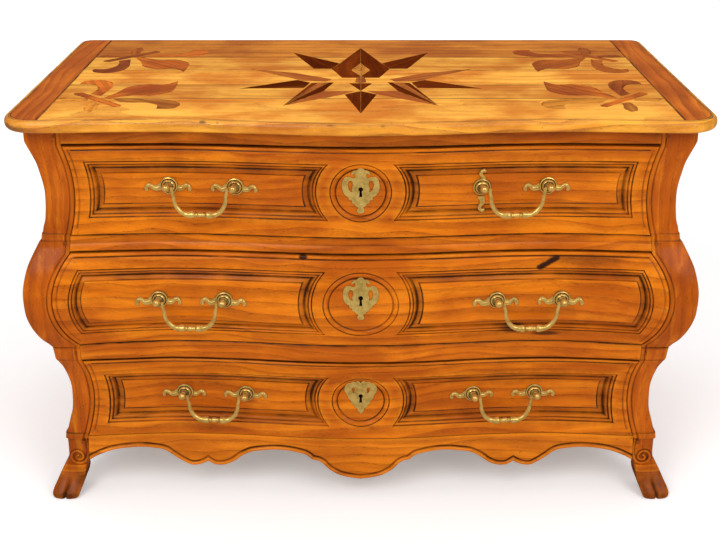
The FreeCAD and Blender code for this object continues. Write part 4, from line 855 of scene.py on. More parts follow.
def legRing(z, inner, outer, front, back):
    ring = [(inner, back - 3, 0), (inner, front + (back - front) * 0.66, 0),
            (inner, front + (back - front) * 0.33, 0),
            (inner, front + 8, 0), (inner + 0.3, front + 4, 0), (inner + 1.2, front + 1.6, 0),
            (inner + 3.2, front + 0.2, 0), (inner + 6.0, front - 0.6, 0)]
    ax, ay, bx, by = inner + 8, front - 1, outer - 6, front + 0.6
    for k in range(25):
        s = k / 24
        push = 0.9 * math.sin(math.pi * s)
        dark = 0.0
        if z < 44:                 # the cleft of the hoof
            share = (44 - z) / 44
            near = max(0.0, 1 - abs(12 * s - 6.2) / 1.4)
            push += 1.4 * share * abs(math.sin(2 * math.pi * s)) - 6.0 * share * near
            # dark: painted shade down the cleft
            dark = min(0.8, 1.2 * near * share + 0.2 * share)
        ring.append((ax + (bx - ax) * s, ay + (by - ay) * s - push, dark))
    ring += [(outer - 3.4, front + 1.6, 0), (outer - 1.5, front + 3.2, 0), (outer - 0.4, front + 5.6, 0),
             (outer, front + 8.6, 0)]
    startY = front + 10
    ring += [(outer - 1.4 * s, startY + (back - 7 - startY) * s, 0) for s in (0.1, 0.3, 0.5, 0.7, 0.9, 1.0)]
    ring += [(outer - 3.2, back - 1.6, 0), (outer - 7, back, 0), (outer * 0.6 + inner * 0.4, back, 0),
             (outer * 0.3 + inner * 0.7, back, 0), (inner + 4, back - 0.4, 0)]
    return ring


def postHeights():
    heights = set(np.round(np.linspace(138, 807.9, 118), 2))
    heights |= {z for z, _ in postShape["halfWidths"]}
    for low, high in postShape["bands"]:
        heights |= {low - 0.5, low, high, high + 0.5}
    ordered = sorted(heights)
    return [ordered[0]] + [b for a, b in zip(ordered, ordered[1:]) if b - a > 0.25]


def legLevels():
    table = np.array(postShape["leg"])[::-1]
    heights = sorted(set(table[:, 0]) | set(np.arange(66.0, 135.0, 2.1)))
    return [(z, *[float(np.interp(z, table[:, 0], table[:, k])) for k in range(1, 5)]) for z in heights]


def makeFrontPost(side):
    skin = Skin()
    coil = smoothRun(scroll["line"], 2.0)
    levels = [(z, legRing(z, *rest)) for z, *rest in legLevels()]
    levels += [(z, postRing(z)) for z in postHeights()]
    ids = []
    for z, ring in levels:
        points = [(side * x, cornerLine + y, z) for x, y, _ in ring]
        grime = [g + (1.0 if z < 12 else 0.8 if z < 44 else 0.35 if z < 64 else 0.0) for _, _, g in ring]
        # painted shade along both sides of the knee scroll's ridge
        if 65 < z < 137:
            near = [np.min(np.hypot(coil[:, 0] - x, coil[:, 1] - z)) if y < 60 else 99 for x, y, _ in ring]
            grime = [max(g, float(np.clip(1.5 - abs(n - scroll["wide"]) / 1.6, 0, 1)))
                     for g, n in zip(grime, near)]
        # painted shade along the steps of the collars
        nearStep = min(min(abs(z - low), abs(z - high)) for low, high in postShape["bands"])
        if nearStep < 0.8:
            grime = [min(1.0, g + 0.6) for g in grime]
        if side < 0:
            points, grime = points[::-1], grime[::-1]
        ids.append(skin.add(points, grime))
    for a, b in zip(ids, ids[1:]):
        skin.strip(a, b)
    skin.cap(ids[0], flip=True)
    skin.cap(ids[-1])
    word = "Left" if side < 0 else "Right"
    return makePiece("frontPost" + word, skin, woods["post"], "carcass",
                     ["post_front_" + word.lower()], sharp=30)


for side in (-1, 1):
    makeFrontPost(side)
    line = smoothRun(scroll["line"], 2.0)
    run = []
    for k, (x, z) in enumerate(line):
        s = k / (len(line) - 1)
        front = np.interp(z, *scroll["front"])
        run.append((side * x, cornerLine + front - scroll["proud"], z,
                    scroll["wide"] * (1 - 0.35 * s) * min(1, 0.25 + 6 * s)))
    sweptPiece("kneeScroll" + ("Left" if side < 0 else "Right"), [run], 14, woods["post"], "carcass")
print("front posts turned")

# ---- top: a moulded frame round flat boards, with the inlays let in

topShape = {
    "half": 667.5, "back": 730.0, "front": 19.0, "hollow": 10.0, "bow": 29.0, "turnFront": 65.0,
    "turnBack": 30.0,
    "low": 808.2, "face": 831.9, "frameWidth": 11.0, "endBoard": 595.5, "joints": (154, 268, 401, 527),
    "tones": (0.74, 0.5, 0.82, 0.52, 0.02), "fillGap": 26.0,
    "nose": [  # in from the edge, height, grime and painted shade in the quirk
        (11, 808.1, 0.3), (7.4, 808.3, 0.2), (4.2, 809.6, 0.1), (1.9, 812.0, 0), (0.5, 815.4, 0),
        (0.0, 819.6, 0),
        (0.4, 823.8, 0), (1.6, 827.2, 0), (3.6, 829.8, 0), (5.8, 831.0, 0), (7.5, 831.1, 0.1),
        (8.5, 830.4, 0.6),
        (9.1, 830.2, 0.8), (9.7, 830.9, 0.5), (10.3, 831.8, 0.1), (11.0, 831.9, 0.3)],
}


def topEdgeY(x):
    t = topShape
    sweep = np.minimum(endSweep(x) / endSweep(585.0), 1.0)
    return cornerLine - t["front"] + t["hollow"] * (1 - sweep) - t["bow"] * bow(x)


def topRing():             # anticlockwise from above, from the left end of the front edge
    t = topShape
    turn, far = t["half"] - t["turnFront"], t["half"] - t["turnBack"]
    start, back = float(topEdgeY(turn)), cornerLine + t["back"]
    x = np.linspace(-turn, turn, 170)
    front = np.c_[x, topEdgeY(x)]
    a = np.radians(np.linspace(-90, 0, 19))[1:]
    corner = np.c_[turn + t["turnFront"] * np.cos(a), start + t["turnFront"] * (1 + np.sin(a))]
    y = np.linspace(start + t["turnFront"], back - t["turnBack"], 60)[1:]
    side = np.c_[np.full(len(y), t["half"]), y]
    a = np.radians(np.linspace(0, 90, 11))[1:]
    rear = np.c_[far + t["turnBack"] * np.cos(a), back - t["turnBack"] * (1 - np.sin(a))]
    right = np.vstack([corner, side, rear])
    x = np.linspace(far, -far, 90)[1:-1]
    left = (right * (-1, 1))[::-1]
    return np.vstack([front, right, np.c_[x, np.full(len(x), back)], left[:-1]])


def flatAt(points, z):
    return np.c_[np.asarray(points, float), np.full(len(points), z)]


def addSlab(skin, outline, low, face, tone, shift, gap, turn=0.0, edge=0.35, joint=True):
    start = len(skin.points)
    inner = insetRing(outline, edge)
    steps = [(flatAt(outline, low), 0.3), (flatAt(outline, face - edge), 1.0), (flatAt(inner, face), 0.9)]
    if joint:
        inner = insetRing(outline, edge + 1.3)
        steps.append((flatAt(inner, face), 0.75))
        inner = insetRing(outline, edge + 2.2)
        steps.append((flatAt(inner, face), 0.0))
    ids = skin.rings(steps)
    skin.cap(ids[0], flip=True)
    skin.fill(flatAt, inner, [], gap, face)
    c, s = math.cos(turn), math.sin(turn)
    for k in range(start, len(skin.points)):
        x, y, _ = skin.points[k]
        skin.tone[k] = tone
        skin.grain[k] = (x * c + y * s + shift, y * c - x * s + shift * 0.61)


def makeTop():
    t = topShape
    ring = topRing()
    skin = Skin()
    skin.rings([(flatAt(insetRing(ring, inset), z), grime) for inset, z, grime in t["nose"]], cycle=True)
    makePiece("topNose", skin, woods["nose"], "carcass", ["top_planks"])
    inner = insetRing(ring, t["frameWidth"] + 0.2)
    frontRun = inner[:170]
    edges = [None] + list(t["joints"]) + [None]
    skin = Skin()
    x = np.linspace(-t["endBoard"] + 0.2, t["endBoard"] - 0.2, 90)
    farBack = cornerLine + t["back"] - t["frameWidth"] - 0.2
    for k, tone in enumerate(t["tones"]):
        low, high = edges[k], edges[k + 1]
        if low is None:
            lowY = np.interp(x, frontRun[:, 0], frontRun[:, 1])
        else:
            lowY = np.full(90, cornerLine + low + 0.2)
        highY = np.full(90, farBack if high is None else cornerLine + high - 0.2)
        outline = np.vstack([np.c_[x, lowY], np.c_[x, highY][::-1]])
        last = Skin() if k == len(t["tones"]) - 1 else skin
        addSlab(last, outline, t["low"], t["face"], tone, 733.0 * k, t["fillGap"])
    makePiece("topPlanks", skin, woods["topPlank"], "carcass", ["top_planks"], grainMap=True)
    makePiece("topPlankBack", last, woods["topBack"], "carcass", ["top_planks"], grainMap=True)
    right = inner[inner[:, 0] > t["endBoard"] + 0.2]
    y0 = np.interp(t["endBoard"] + 0.2, frontRun[:, 0], frontRun[:, 1])
    cut = np.linspace(farBack, y0, 40)
    outline = np.vstack([right, np.c_[np.full(40, t["endBoard"] + 0.2), cut]])
    for side, word in ((-1, "Left"), (1, "Right")):
        skin = Skin()
        shape = outline if side > 0 else (outline * (-1, 1))[::-1]
        addSlab(skin, shape, t["low"], t["face"], 0.5, 311.0 * side, t["fillGap"], math.pi / 2)
        makePiece("topEnd" + word, skin, woods["topEnd"], "carcass", ["top_end_" + word.lower()],
                  grainMap=True)


makeTop()
print("top boards laid")

inlays = {   # outlines from above, Y from the corner line
    "starDark": [[(0, 627), (46, 466), (63, 413), (39, 329), (9, 329), (0, 346), (20, 400), (0, 466)],
                 [(154, 577), (101, 413), (63, 413), (46, 466)],
                 [(246, 235), (132, 310), (104, 287), (115, 241)],
                 [(0, 40), (32, 187), (0, 214)], [(0, 215), (24, 281), (0, 281)],
                 [(149, 99), (101, 283), (87, 287)],
                 [(149, 99), (75, 212), (55, 288), (65, 288)]],
    "starLight": [[(239, 411), (138, 373), (59, 316), (71, 295), (120, 302)],
                  [(149, 99), (87, 287), (65, 288)],
                  [(149, 99), (33, 187), (12, 218), (75, 212)], [(0, 282), (12, 289), (9, 329), (0, 346)]],
    "starHeart": [(0, 348), (0, 464), (19, 400)],
    "lilyBar": [(-570, 198), (-556, 203), (-459, 103), (-459, 93), (-469, 87), (-570, 188)],
    "lilyRuns": [
        ([(-504, 162), (-485, 204), (-472, 247), (-438, 273), (-402, 270), (-378, 300)],
         [(-378, 300), (-375, 255), (-379, 210), (-408, 180), (-452, 178), (-494, 151)]),
        ([(-513, 174), (-507, 212), (-504, 255), (-517, 296), (-545, 311), (-570, 300), (-576, 271)],
         [(-576, 271), (-552, 271), (-533, 245), (-532, 210), (-537, 190)]),
        ([(-485, 154), (-436, 152), (-385, 148), (-357, 133), (-347, 107), (-357, 78), (-389, 76)],
         [(-389, 76), (-393, 105), (-410, 119), (-446, 122), (-468, 125)]),
        ([(-519, 127), (-527, 97), (-519, 58), (-509, 52)],
         [(-509, 52), (-500, 77), (-503, 109), (-501, 115)]),
        ([(-535, 154), (-560, 159), (-588, 150)], [(-588, 150), (-580, 135), (-556, 135), (-531, 139)])],
    "low": 829.1, "bar": 832.0, "leaf": 831.96, "runGap": 5.0, "fillGap": 5.0,
}


def addInlay(skin, points, face):
    ring = np.asarray(points, float)
    ring = ring[np.linalg.norm(ring - np.roll(ring, 1, 0), axis=1) > 0.5]
    x, y = ring.T
    if (x * np.roll(y, -1) - np.roll(x, -1) * y).sum() < 0:
        ring = ring[::-1]
    spread = ring - ring.mean(0)
    if len(ring) < 12:
        ring = np.vstack([a + (b - a) * (np.arange(n) / n)[:, None]
                          for a, b in zip(ring, np.roll(ring, -1, 0))
                          for n in [max(1, int(np.hypot(*(b - a)) / 6))]])
    turn = 0.5 * math.atan2(2 * (spread[:, 0] * spread[:, 1]).sum(),
                            (spread[:, 0] ** 2 - spread[:, 1] ** 2).sum())
    placed = ring + (0, cornerLine)
    addSlab(skin, placed, inlays["low"], face, random.uniform(0.15, 0.95), random.uniform(0, 900),
            inlays["fillGap"],
            turn, edge=0.3, joint=False)


for piece, wood, slot in (("starDark", "darkInlay", "dark_inlay"),
                          ("starLight", "lightInlay", "light_inlay")):
    skin = Skin()
    for points in inlays[piece]:
        for way in (1, -1):
            addInlay(skin, [(way * x, y) for x, y in points], inlays["bar"])
    makePiece(piece + "Inlay", skin, woods[wood], "carcass", ["star_inlay_" + slot.split("_")[0]],
              grainMap=True)
skin, pale = Skin(), Skin()
for way in (1, -1):
    for turned in (False, True):
        placeAt = lambda points: [(way * x, 682 - y if turned else y) for x, y in points]
        addInlay(skin, placeAt(inlays["lilyBar"]), inlays["bar"])
        for k, (runA, runB) in enumerate(inlays["lilyRuns"]):
            line = np.vstack([smoothRun(placeAt(runA), inlays["runGap"])[:-1],
                              smoothRun(placeAt(runB), inlays["runGap"])])
            addInlay(pale if k > 1 and not turned else skin, line, inlays["leaf"])
makePiece("lilyInlays", skin, woods["lilyInlay"], "carcass", ["lily_inlays"], grainMap=True)
makePiece("lilyTails", pale, woods["lilyPale"], "carcass", ["lily_inlays"], grainMap=True)
skin = Skin()
for way in (1, -1):
    addInlay(skin, [(way * x, y) for x, y in inlays["starHeart"]], inlays["bar"])
makePiece("starHeartInlay", skin, woods["lilyPale"], "carcass", ["star_inlay_light"],
          grainMap=True)
print("inlays set")

# ---- rails and apron

railShapes = {   # front of each rail: height, depth, grime and painted shade; the darkest rows paint the shade in the gaps by the drawers
    "top_rail": {"back": 100, "pocket": (57.8, 73.2), "columns": 150,
                 # the top rail's face is darkened as the painted shadow of the top's overhang
                 "front": [(776.1, 0.8, 1.0), (776.8, 0.1, 0.6), (779, 0, 0.28), (790, 0, 0.28),
                           (801, 0, 0.45),
                           (807.9, 0.2, 0.9)]},
    "divider_rail_upper": {"back": 100, "pocket": (41.8, 57.2), "columns": 150,
                           "front": [(560.1, 0.9, 1.0), (560.9, 0.1, 0.6), (562.5, 0, 0.1), (567, -0.1, 0),
                                     (573.6, -0.1, 0),
                                     (574.6, 0.8, 0.4), (575.8, 1.0, 0.3), (582, 0.9, 0.1), (586.6, 0.9, 0.3),
                                     (588.6, 1.1, 0.9), (589.3, 1.9, 1.0)]},
    "divider_rail_lower": {"back": 100, "pocket": (65.8, 81.2), "columns": 150,
                           "front": [(328.1, 0.9, 1.0), (328.9, 0.1, 0.6), (331, 0, 0.1), (340, 0, 0),
                                     (352, 0, 0), (363.4, 0.1, 0.2),
                                     (365.2, 0.4, 0.9), (366.3, 1.6, 1.0)]},
}


boltPocket = {"half": 40.2, "railHalf": 565, "rise": 12.2, "shut": 0.02}      # under each rail


def makeRail(name, shape):
    front, back = shape["front"], cornerLine + shape["back"]
    near, deep = cornerLine + shape["pocket"][0], cornerLine + shape["pocket"][1]
    low, high = front[0][0], front[-1][0]
    share = boltPocket["half"] / boltPocket["railHalf"]
    across = sorted(list(np.linspace(-1, 1, shape["columns"])) + [-share - 1e-5, -share, share, share + 1e-5])
    skin, columns = Skin(), []
    zs = np.array([z for z, _, _ in front])
    ends = np.array([openingHalf(z) + 0.9 for z in zs])
    for t in across:
        rise = boltPocket["rise"] if abs(t) <= share else boltPocket["shut"]
        x = ends * t
        y = frontY(x, zs) + ripple(x, zs) + np.array([depth for _, depth, _ in front])
        points = [tuple(p) for p in np.c_[x, y, zs]]
        x0, x1 = ends[0] * t, ends[-1] * t
        points += [(x1, back, high), (x0, back, low), (x0, deep, low), (x0, deep, low + rise),
                   (x0, near, low + rise),
                   (x0, near, low)]
        columns.append(skin.add(points, [g for _, _, g in front] + [0.3] * 6))
    for a, b in zip(columns, columns[1:]):
        skin.strip(a, b)
    skin.cap(columns[0])
    skin.cap(columns[-1], flip=True)
    title = "".join(word.capitalize() for word in name.split("_"))
    return makePiece(title[0].lower() + title[1:], skin, woods["rail"], "carcass", [name],
                     turnOut=True,
                     weld=0.0001)


for name, shape in railShapes.items():
    makeRail(name, shape)

apron = {
    "runs": [[(0, 48), (22, 51), (45, 57), (64, 68), (80, 84)], [(80, 84), (88, 89), (102, 92)],
             [(102, 92), (114, 102), (132, 107), (168, 111), (204, 108), (232, 102), (250, 92), (266, 79),
              (288, 69),
              (308, 69), (322, 77)],
             [(322, 77), (338, 69), (358, 67), (374, 75), (392, 88), (410, 102), (438, 109), (488, 111),
              (524, 106),
              (550, 97), (568.8, 87)]],
    "top": 140.3, "back": 80.0, "end": 568.8, "gap": 4.0, "fillGap": 11.0,
    # across the bead: how far in, depth, grime and painted shade along its groove
    "bead": [(0.0, 3.6, 0.8), (0.5, 1.4, 0.4), (1.9, -0.4, 0), (4.0, -1.2, 0), (6.2, -0.6, 0),
             (7.7, 1.0, 0.4),
             (8.5, 2.8, 1.0), (10.2, 3.0, 1.0), (11.2, 1.7, 0.6), (13.0, 0.9, 0)],
}


def makeApron():
    a = apron
    right = np.vstack([smoothRun(run, a["gap"])[:-1] for run in a["runs"]] + [[a["runs"][-1][-1]]])
    lower = np.vstack([(right * (-1, 1))[:0:-1], right])
    ways = sideNormals(lower, closed=False)
    ways[0] = ways[-1] = (0, 1)
    topX = np.linspace(a["end"], -a["end"], 150)

    def ringAt(inset):
        line = lower + ways * inset
        z = np.linspace(line[-1][1], a["top"], 8)[1:-1]
        rightEnd = np.c_[np.full(len(z), a["end"]), z]
        leftEnd = np.c_[np.full(len(z), -a["end"]), z[::-1]]
        return np.vstack([line, rightEnd, np.c_[topX, np.full(len(topX), a["top"])], leftEnd])

    base = a["bead"][-1][1]
    skin, steps = Skin(), []
    first = ringAt(0)
    steps.append((np.c_[first[:, 0], np.full(len(first), cornerLine + a["back"]), first[:, 1]], 0.2))
    for inset, depth, grime in a["bead"]:
        ring = ringAt(inset)
        depths = np.full(len(ring), base)
        depths[:len(lower)] = depth
        dirtShadeValues = np.zeros(len(ring))
        dirtShadeValues[:len(lower)] = grime
        steps.append((onFront(ring, 0) + np.c_[np.zeros(len(ring)), depths, np.zeros(len(ring))], dirtShadeValues))
    ids = skin.rings(steps)
    skin.cap(ids[0], flip=True)
    skin.fill(onFront, ringAt(a["bead"][-1][0]), [], a["fillGap"], base)
    makePiece("apronFront", skin, woods["apron"], "carcass", ["apron_front"], turnOut=True)


makeApron()
print("rails and apron shaped")

# ---- brass plates round the keyholes, and the handles' rosettes

plateShapes = {
    "crest": [(0, 1.0), (0.12, 0.97), (0.22, 0.90), (0.38, 0.88), (0.50, 0.76), (0.53, 0.66), (0.42, 0.70),
              (0.34, 0.74), (0.30, 0.68), (0.31, 0.60), (0.40, 0.55), (0.50, 0.58), (0.62, 0.61),
              (0.78, 0.60),
              (0.90, 0.52), (0.98, 0.36), (1.0, 0.14), (0.94, -0.08), (0.80, -0.24), (0.66, -0.30),
              (0.62, -0.42),
              (0.50, -0.44), (0.46, -0.56), (0.34, -0.60), (0.26, -0.70), (0.14, -0.74), (0.20, -0.84),
              (0.18, -0.94),
              (0.08, -1.0), (0, -1.0)],
    "shield": [(0, 0.86), (0.16, 0.98), (0.34, 0.90), (0.5, 0.96), (0.62, 0.84), (0.80, 0.80), (0.95, 0.62),
               (1.0, 0.40), (0.90, 0.22), (0.80, 0.06), (0.74, -0.12), (0.62, -0.22), (0.56, -0.38),
               (0.44, -0.46),
               (0.36, -0.60), (0.22, -0.66), (0.20, -0.80), (0.10, -0.90), (0, -1.0)],
    "comma": [(0.46, 0.40), (0.58, 0.42), (0.68, 0.30), (0.66, 0.12), (0.57, -0.02), (0.46, -0.06),
              (0.48, 0.08),
              (0.42, 0.24)],
    "pins": [(0, 0.78), (0.78, 0.42), (-0.78, 0.42), (0, -0.62)],
    "face": 1.2, "seat": 3.5, "gap": 1.6, "fillGap": 4.5,
}


def ringArea(ring):
    x, y = ring.T
    return (x * np.roll(y, -1) - np.roll(x, -1) * y).sum() / 2


def makePlate(name):
    d, p = drawers[name], plateShapes
    wide, tall = d["plate"]
    scale, centre = np.array([wide, tall]), np.array([0, d["keyZ"] - 2.0])
    half = smoothRun(np.array(p["shield" if name == "lower" else "crest"]) * scale, p["gap"])
    left = (half * (-1, 1))[::-1]
    outline = np.vstack([left[:-1], half[:-1]]) + centre
    if ringArea(outline) < 0:
        outline = outline[::-1]
    holes = [keyRing(d["keyZ"])]
    comma = np.array(p["comma"] + p["comma"][:1])
    comma = smoothRun((comma * 0.66 + (0.08, 0.28) if name == "lower" else comma) * scale, p["gap"])[:-1]
    for way in (1, -1):
        ring = comma * (way, 1) + centre
        holes.append(ring if ringArea(ring) < 0 else ring[::-1])
    skin = Skin()
    inner = insetRing(outline, 0.55)
    # painted shade where the plate meets the wood
    ids = skin.rings([(onFront(outline, p["seat"]), 0.9), (onFront(outline, p["face"] + 0.7), 0.5),
                      (onFront(inner, p["face"]), 0.0)])
    cut = []
    for ring in holes:
        edge = insetRing(ring, 0.3)
        # painted shade down the walls of the holes
        skin.rings([(onFront(ring, p["seat"]), 1.0), (onFront(ring, p["face"] + 0.5), 0.7),
                    (onFront(edge, p["face"]), 0.2)])
        cut.append(edge)
    skin.fill(onFront, inner, cut, p["fillGap"], p["face"])
    skin.fill(onFront, outline, holes, p["fillGap"] * 2, p["seat"])
    makePiece("escutcheon" + name.capitalize(), skin, brass, "drawer_" + name,
              ["escutcheon_" + name],
              turnOut=True)
    spots = np.array(p["pins"]) * scale + centre
    seeds = bpy.data.meshes.new("pinSpots")
    seeds.from_pydata([tuple(v * mm) for v in onFront(spots, p["face"] + 0.1)], [], [])
    aims = seeds.attributes.new("aim", "FLOAT_VECTOR", "POINT")
    aims.data.foreach_set("vector", np.tile([0.0, -1.0, 0.0], len(spots)))
    pins = throughTree("platePins" + name.capitalize(), seeds, headedPins,
                       {"Head Radius": 0.0017, "Head Height": 0.0010, "Finish": brass})
    finishMesh(pins, 60)
    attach(pins, "drawer_" + name)


rosetteShape = {
    "disc": [(17.0, 4.0), (17.3, -0.8), (16.5, -2.6), (14.7, -3.4), (13.9, -2.6), (13.2, -3.2), (12.6, -5.4),
             (11.4, -7.4), (10.2, -8.2), (9.4, -7.8), (8.7, -8.8), (7.4, -10.0), (5.6, -10.7), (3.0, -11.0)],
    "drop": 4.0, "leafDrop": 3.0, "leafShift": -2.0,
    "around": 48,
    "leaf": [(12, -5.6), (18, -6.8), (24, -7.4), (29.6, -6.2), (33.6, -2.6), (36.8, -0.6), (39.0, -2.2),
             (38.2, -5.4),
             (41.2, -7.8), (45.0, -6.6), (46.8, -2.8), (45.2, 1.6), (41.2, 5.4), (36.2, 6.8), (31.2, 5.2),
             (27, 2.8),
             (22.4, 3.0), (17, 6.4), (12, 8.4)],
    "rib": [(16, 0, 1.7), (22, -2.0, 2.2), (28, -1.6, 2.1), (32, 1.8, 1.9), (37, 3.2, 2.0), (42, 0.8, 2.1),
            (43.2, -3.6, 2.0),
            (40.6, -5.4, 1.4)],
    "leafSeat": 2.4, "leafEdge": 0.5, "leafFace": -0.9, "inset": 0.8, "fillGap": 4.0,
}


halfSpan = 64              # from the middle of a handle to each of its two posts


def handleFrame(d, middle):
    left = float(frontY(middle - halfSpan, d["handleZ"]))
    right = float(frontY(middle + halfSpan, d["handleZ"]))
    return middle, (left + right) / 2, d["handleZ"], math.atan2(right - left, 2 * halfSpan)


def makeRosettes(name):
    d, r = drawers[name], rosetteShape
    lean = math.atan2(float(frontY(232, 674)) - float(frontY(232, 710)), 36)
    skin, runs = Skin(), []
    for index, middle in enumerate(d["handles"]):
        mx, my, mz, turn = handleFrame(d, middle)
        for side in (-1, 1):
            upright = name == "upper" and index == 1 and side < 0
            around = np.arange(r["around"]) * 2 * np.pi / r["around"]
            steps, drop = [], r["drop"]
            for radius, y in r["disc"]:
                x, z, depth = radius * np.cos(around), radius * np.sin(around), np.full(r["around"], y)
                if upright:
                    z, depth = (z * math.cos(lean) + depth * math.sin(lean),
                                depth * math.cos(lean) - z * math.sin(lean))
                x = x + side * halfSpan
                # painted shade on the disc's seat and on the inner rings round the ball
                grime = 0.7 if y > -0.9 or radius in (13.9, 13.2, 9.4) or radius < 9 else 0.0
                steps.append((np.c_[mx + x * math.cos(turn) - depth * math.sin(turn),
                                    my + x * math.sin(turn) + depth * math.cos(turn), mz - drop + z], grime))
            ids = skin.rings(steps)
            skin.cap(ids[0])
            skin.cap(ids[-1], flip=True)
            cx = mx + side * halfSpan * math.cos(turn)
            for way in (-1, 1):
                def onFace(points):
                    points = np.asarray(points, float)
                    across, up = way * points[:, 0], points[:, 1]
                    if upright:
                        return np.c_[cx - up, mz - r["drop"] - 8 + across * 0.96]
                    return np.c_[cx + r["leafShift"] + across * 0.98,
                                 mz - r["drop"] - r["leafDrop"] + up * 1.2]

                outline = onFace(smoothRun(r["leaf"], 1.8))
                if ringArea(outline) < 0:
                    outline = outline[::-1]
                inner = insetRing(outline, r["inset"])
                skin.rings([(onFront(outline, r["leafSeat"]), 0.9), (onFront(outline, r["leafEdge"]), 0.5),
                            (onFront(inner, r["leafFace"]), 0.0)])
                skin.fill(onFront, inner, [], r["fillGap"], r["leafFace"])
                skin.fill(onFront, outline, [], r["fillGap"] * 2, r["leafSeat"])
                rib = smoothRun(r["rib"], 1.5)
                place = onFace(rib[:, :2])
                runs.append(np.c_[place[:, 0], frontY(place[:, 0], place[:, 1]) + r["leafFace"] + 0.6,
                                  place[:, 1],
                                  rib[:, 2]].tolist())
    title = name.capitalize()
    makePiece("rosettes" + title, skin, brass, "drawer_" + name, ["rosettes_" + name], turnOut=True)
    sweptPiece("rosetteLeaves" + title, runs, 10, brass, "drawer_" + name)


handle = {
    "reach": 30.0, "curl": (28.4, 38.0), "from": (50.6, -14.6),
    "arm": [(52.8, 1.5, 3.0), (52.8, -2, 3.1), (52.5, -6, 3.2), (51.8, -10.4, 3.3), (50.6, -14.6, 3.4)],
    "grip": [(24.5, -52.6, 6.0), (19.5, -53, 7.0), (15.6, -53, 7.3), (12.6, -53, 6.9), (11.4, -53, 5.4),
             (10.4, -53, 4.0), (8.4, -53, 3.8), (5.6, -53, 3.9), (4.4, -53, 4.9), (2.4, -53, 5.3),
             (0, -53, 5.2)],
    "post": [(0.0, -37.2), (2.6, -36.9), (5.0, -35.4), (6.7, -33.0), (7.3, -30.0), (6.7, -27.0), (5.0, -24.6),
             (3.9, -23.4), (3.7, -21.5), (4.6, -20.4), (4.6, -18.8), (3.6, -17.6), (3.5, -15.0), (4.9, -13.0),
             (5.1, -10.6), (4.0, -8.6), (4.9, -6.6)],
    "around": 28,
}


def makeHandle(name, index):
    d, h = drawers[name], handle
    mx, my, mz, turn = handleFrame(d, d["handles"][index])
    half = [tuple(p) for p in h["arm"]]
    for i in range(1, 6):
        angle = math.radians(15 * i)
        half.append((h["from"][0] - h["curl"][0] * (1 - math.cos(angle)),
                     h["from"][1] - h["curl"][1] * math.sin(angle),
                     3.4 + 0.36 * i))
    half += h["grip"]
    path = half + [(-x, z, r) for x, z, r in reversed(half[:-1])]
    line = smoothRun(path, 1.6)
    c, s = math.cos(turn), math.sin(turn)
    run = [(mx + x * c + h["reach"] * s, my + x * s - h["reach"] * c, mz + z, r) for x, z, r in line]
    word = "left" if index == 0 else "right"
    node = "bail_%s_%s" % (name, word)
    sweptPiece("bail" + name.capitalize() + word.capitalize(), [run], 16, brass, node, [node])


def addPosts(skin, name, index):
    d, h = drawers[name], handle
    mx, my, mz, turn = handleFrame(d, d["handles"][index])
    c, s = math.cos(turn), math.sin(turn)
    around = np.arange(h["around"]) * 2 * np.pi / h["around"]
    for side in (-1, 1):
        endY = ((cornerLine + d["back"] - my) - side * halfSpan * s) / c
        profile = h["post"] + [(5.0, -3.0), (5.0, -0.2), (3.0, 4.0), (3.0, endY + 0.5)]
        profile += [(3.0, endY + 0.6), (7.6, endY + 0.7), (7.6, endY + 4.9), (6.8, endY + 5.2),
                    (3.2, endY + 5.3),
                    (3.0, endY + 7.0)]
        ids = []
        for k, (radius, y) in enumerate(profile[1:]):
            nut = endY + 0.65 < y < endY + 5.25 and radius > 5
            wide = radius / np.maximum(np.abs(np.cos(around)),
                                       np.abs(np.sin(around))) * 0.92 if nut else radius
            x, z = wide * np.cos(around) + side * halfSpan, wide * np.sin(around)
            grime = 0.5 if -26 < y < -2 and radius < 4.2 else 0.0
            ids.append(skin.add(np.c_[mx + x * c - y * s, my + x * s + y * c, mz + z], grime))
        for a, b in zip(ids, ids[1:]):
            skin.strip(a, b)
        skin.cap(ids[0])
        skin.cap(ids[-1], flip=True)


for name in drawers:
    skin = Skin()
    for index in (0, 1):
        makeHandle(name, index)
        addPosts(skin, name, index)
    makePiece("handlePosts" + name.capitalize(), skin, brass, "drawer_" + name,
              ["handle_posts_" + name],
              turnOut=True)
print("handles hung")

for name in drawers:
    makePlate(name)
    makeRosettes(name)
print("plates and rosettes set")

# ---- pieces kept from the frame, with their finishes

plainFinishes = {
    "post": ["post_rear_left", "post_rear_right"],
    "side": ["side_panel_left", "side_panel_right"],
    "rail": ["side_apron_left", "side_apron_right"],
    "pegEnd": ["joint_pegs"],
    "backBoards": ["back_boards"],
    "secondaryX": ["back_rails", "bottom_board"]
                  + ["drawer_%s_%s" % (d, part) for d in drawers for part in ("back", "bottom")],
    "secondaryY": ["drawer_runners", "drawer_guides"]
                  + ["drawer_%s_side_%s" % (d, side) for d in drawers for side in ("left", "right")],
}
for finish, names in plainFinishes.items():
    for nodeName in names:
        for place in nodes[nodeName].material_slots:
            place.material = woods[finish]
for d in drawers:
    for nodeName, finish in (("lock_case_" + d, iron), ("lock_bolt_" + d, brass)):
        for place in nodes[nodeName].material_slots:
            place.material = finish
print("frame pieces finished")

# ---- floor, light and camera

studio = {
    "floorColour": (0.93, 0.93, 0.93, 1), "floorGloss": (0.30, 0.30, 0.30, 1), "floorLift": 0.26,
    "farLift": 0.62,
    "worldStrength": 0.55, "glossWorld": 0.16,
    "lamps": [   # place, aim, size, watts
        ((-1.6, -3.2, 3.0), (0, -0.3, 0.4), 2.2, 62), ((1.9, -2.8, 2.6), (0, -0.3, 0.4), 2.2, 44),
        ((0.0, 0.2, 3.6), (0, 0, 0.6), 2.6, 26)],
    "lens": 60.0, "place": (-0.0005, -2.49225, 1.41406), "tilt": 67.666, "shift": -0.5 / 720,
}


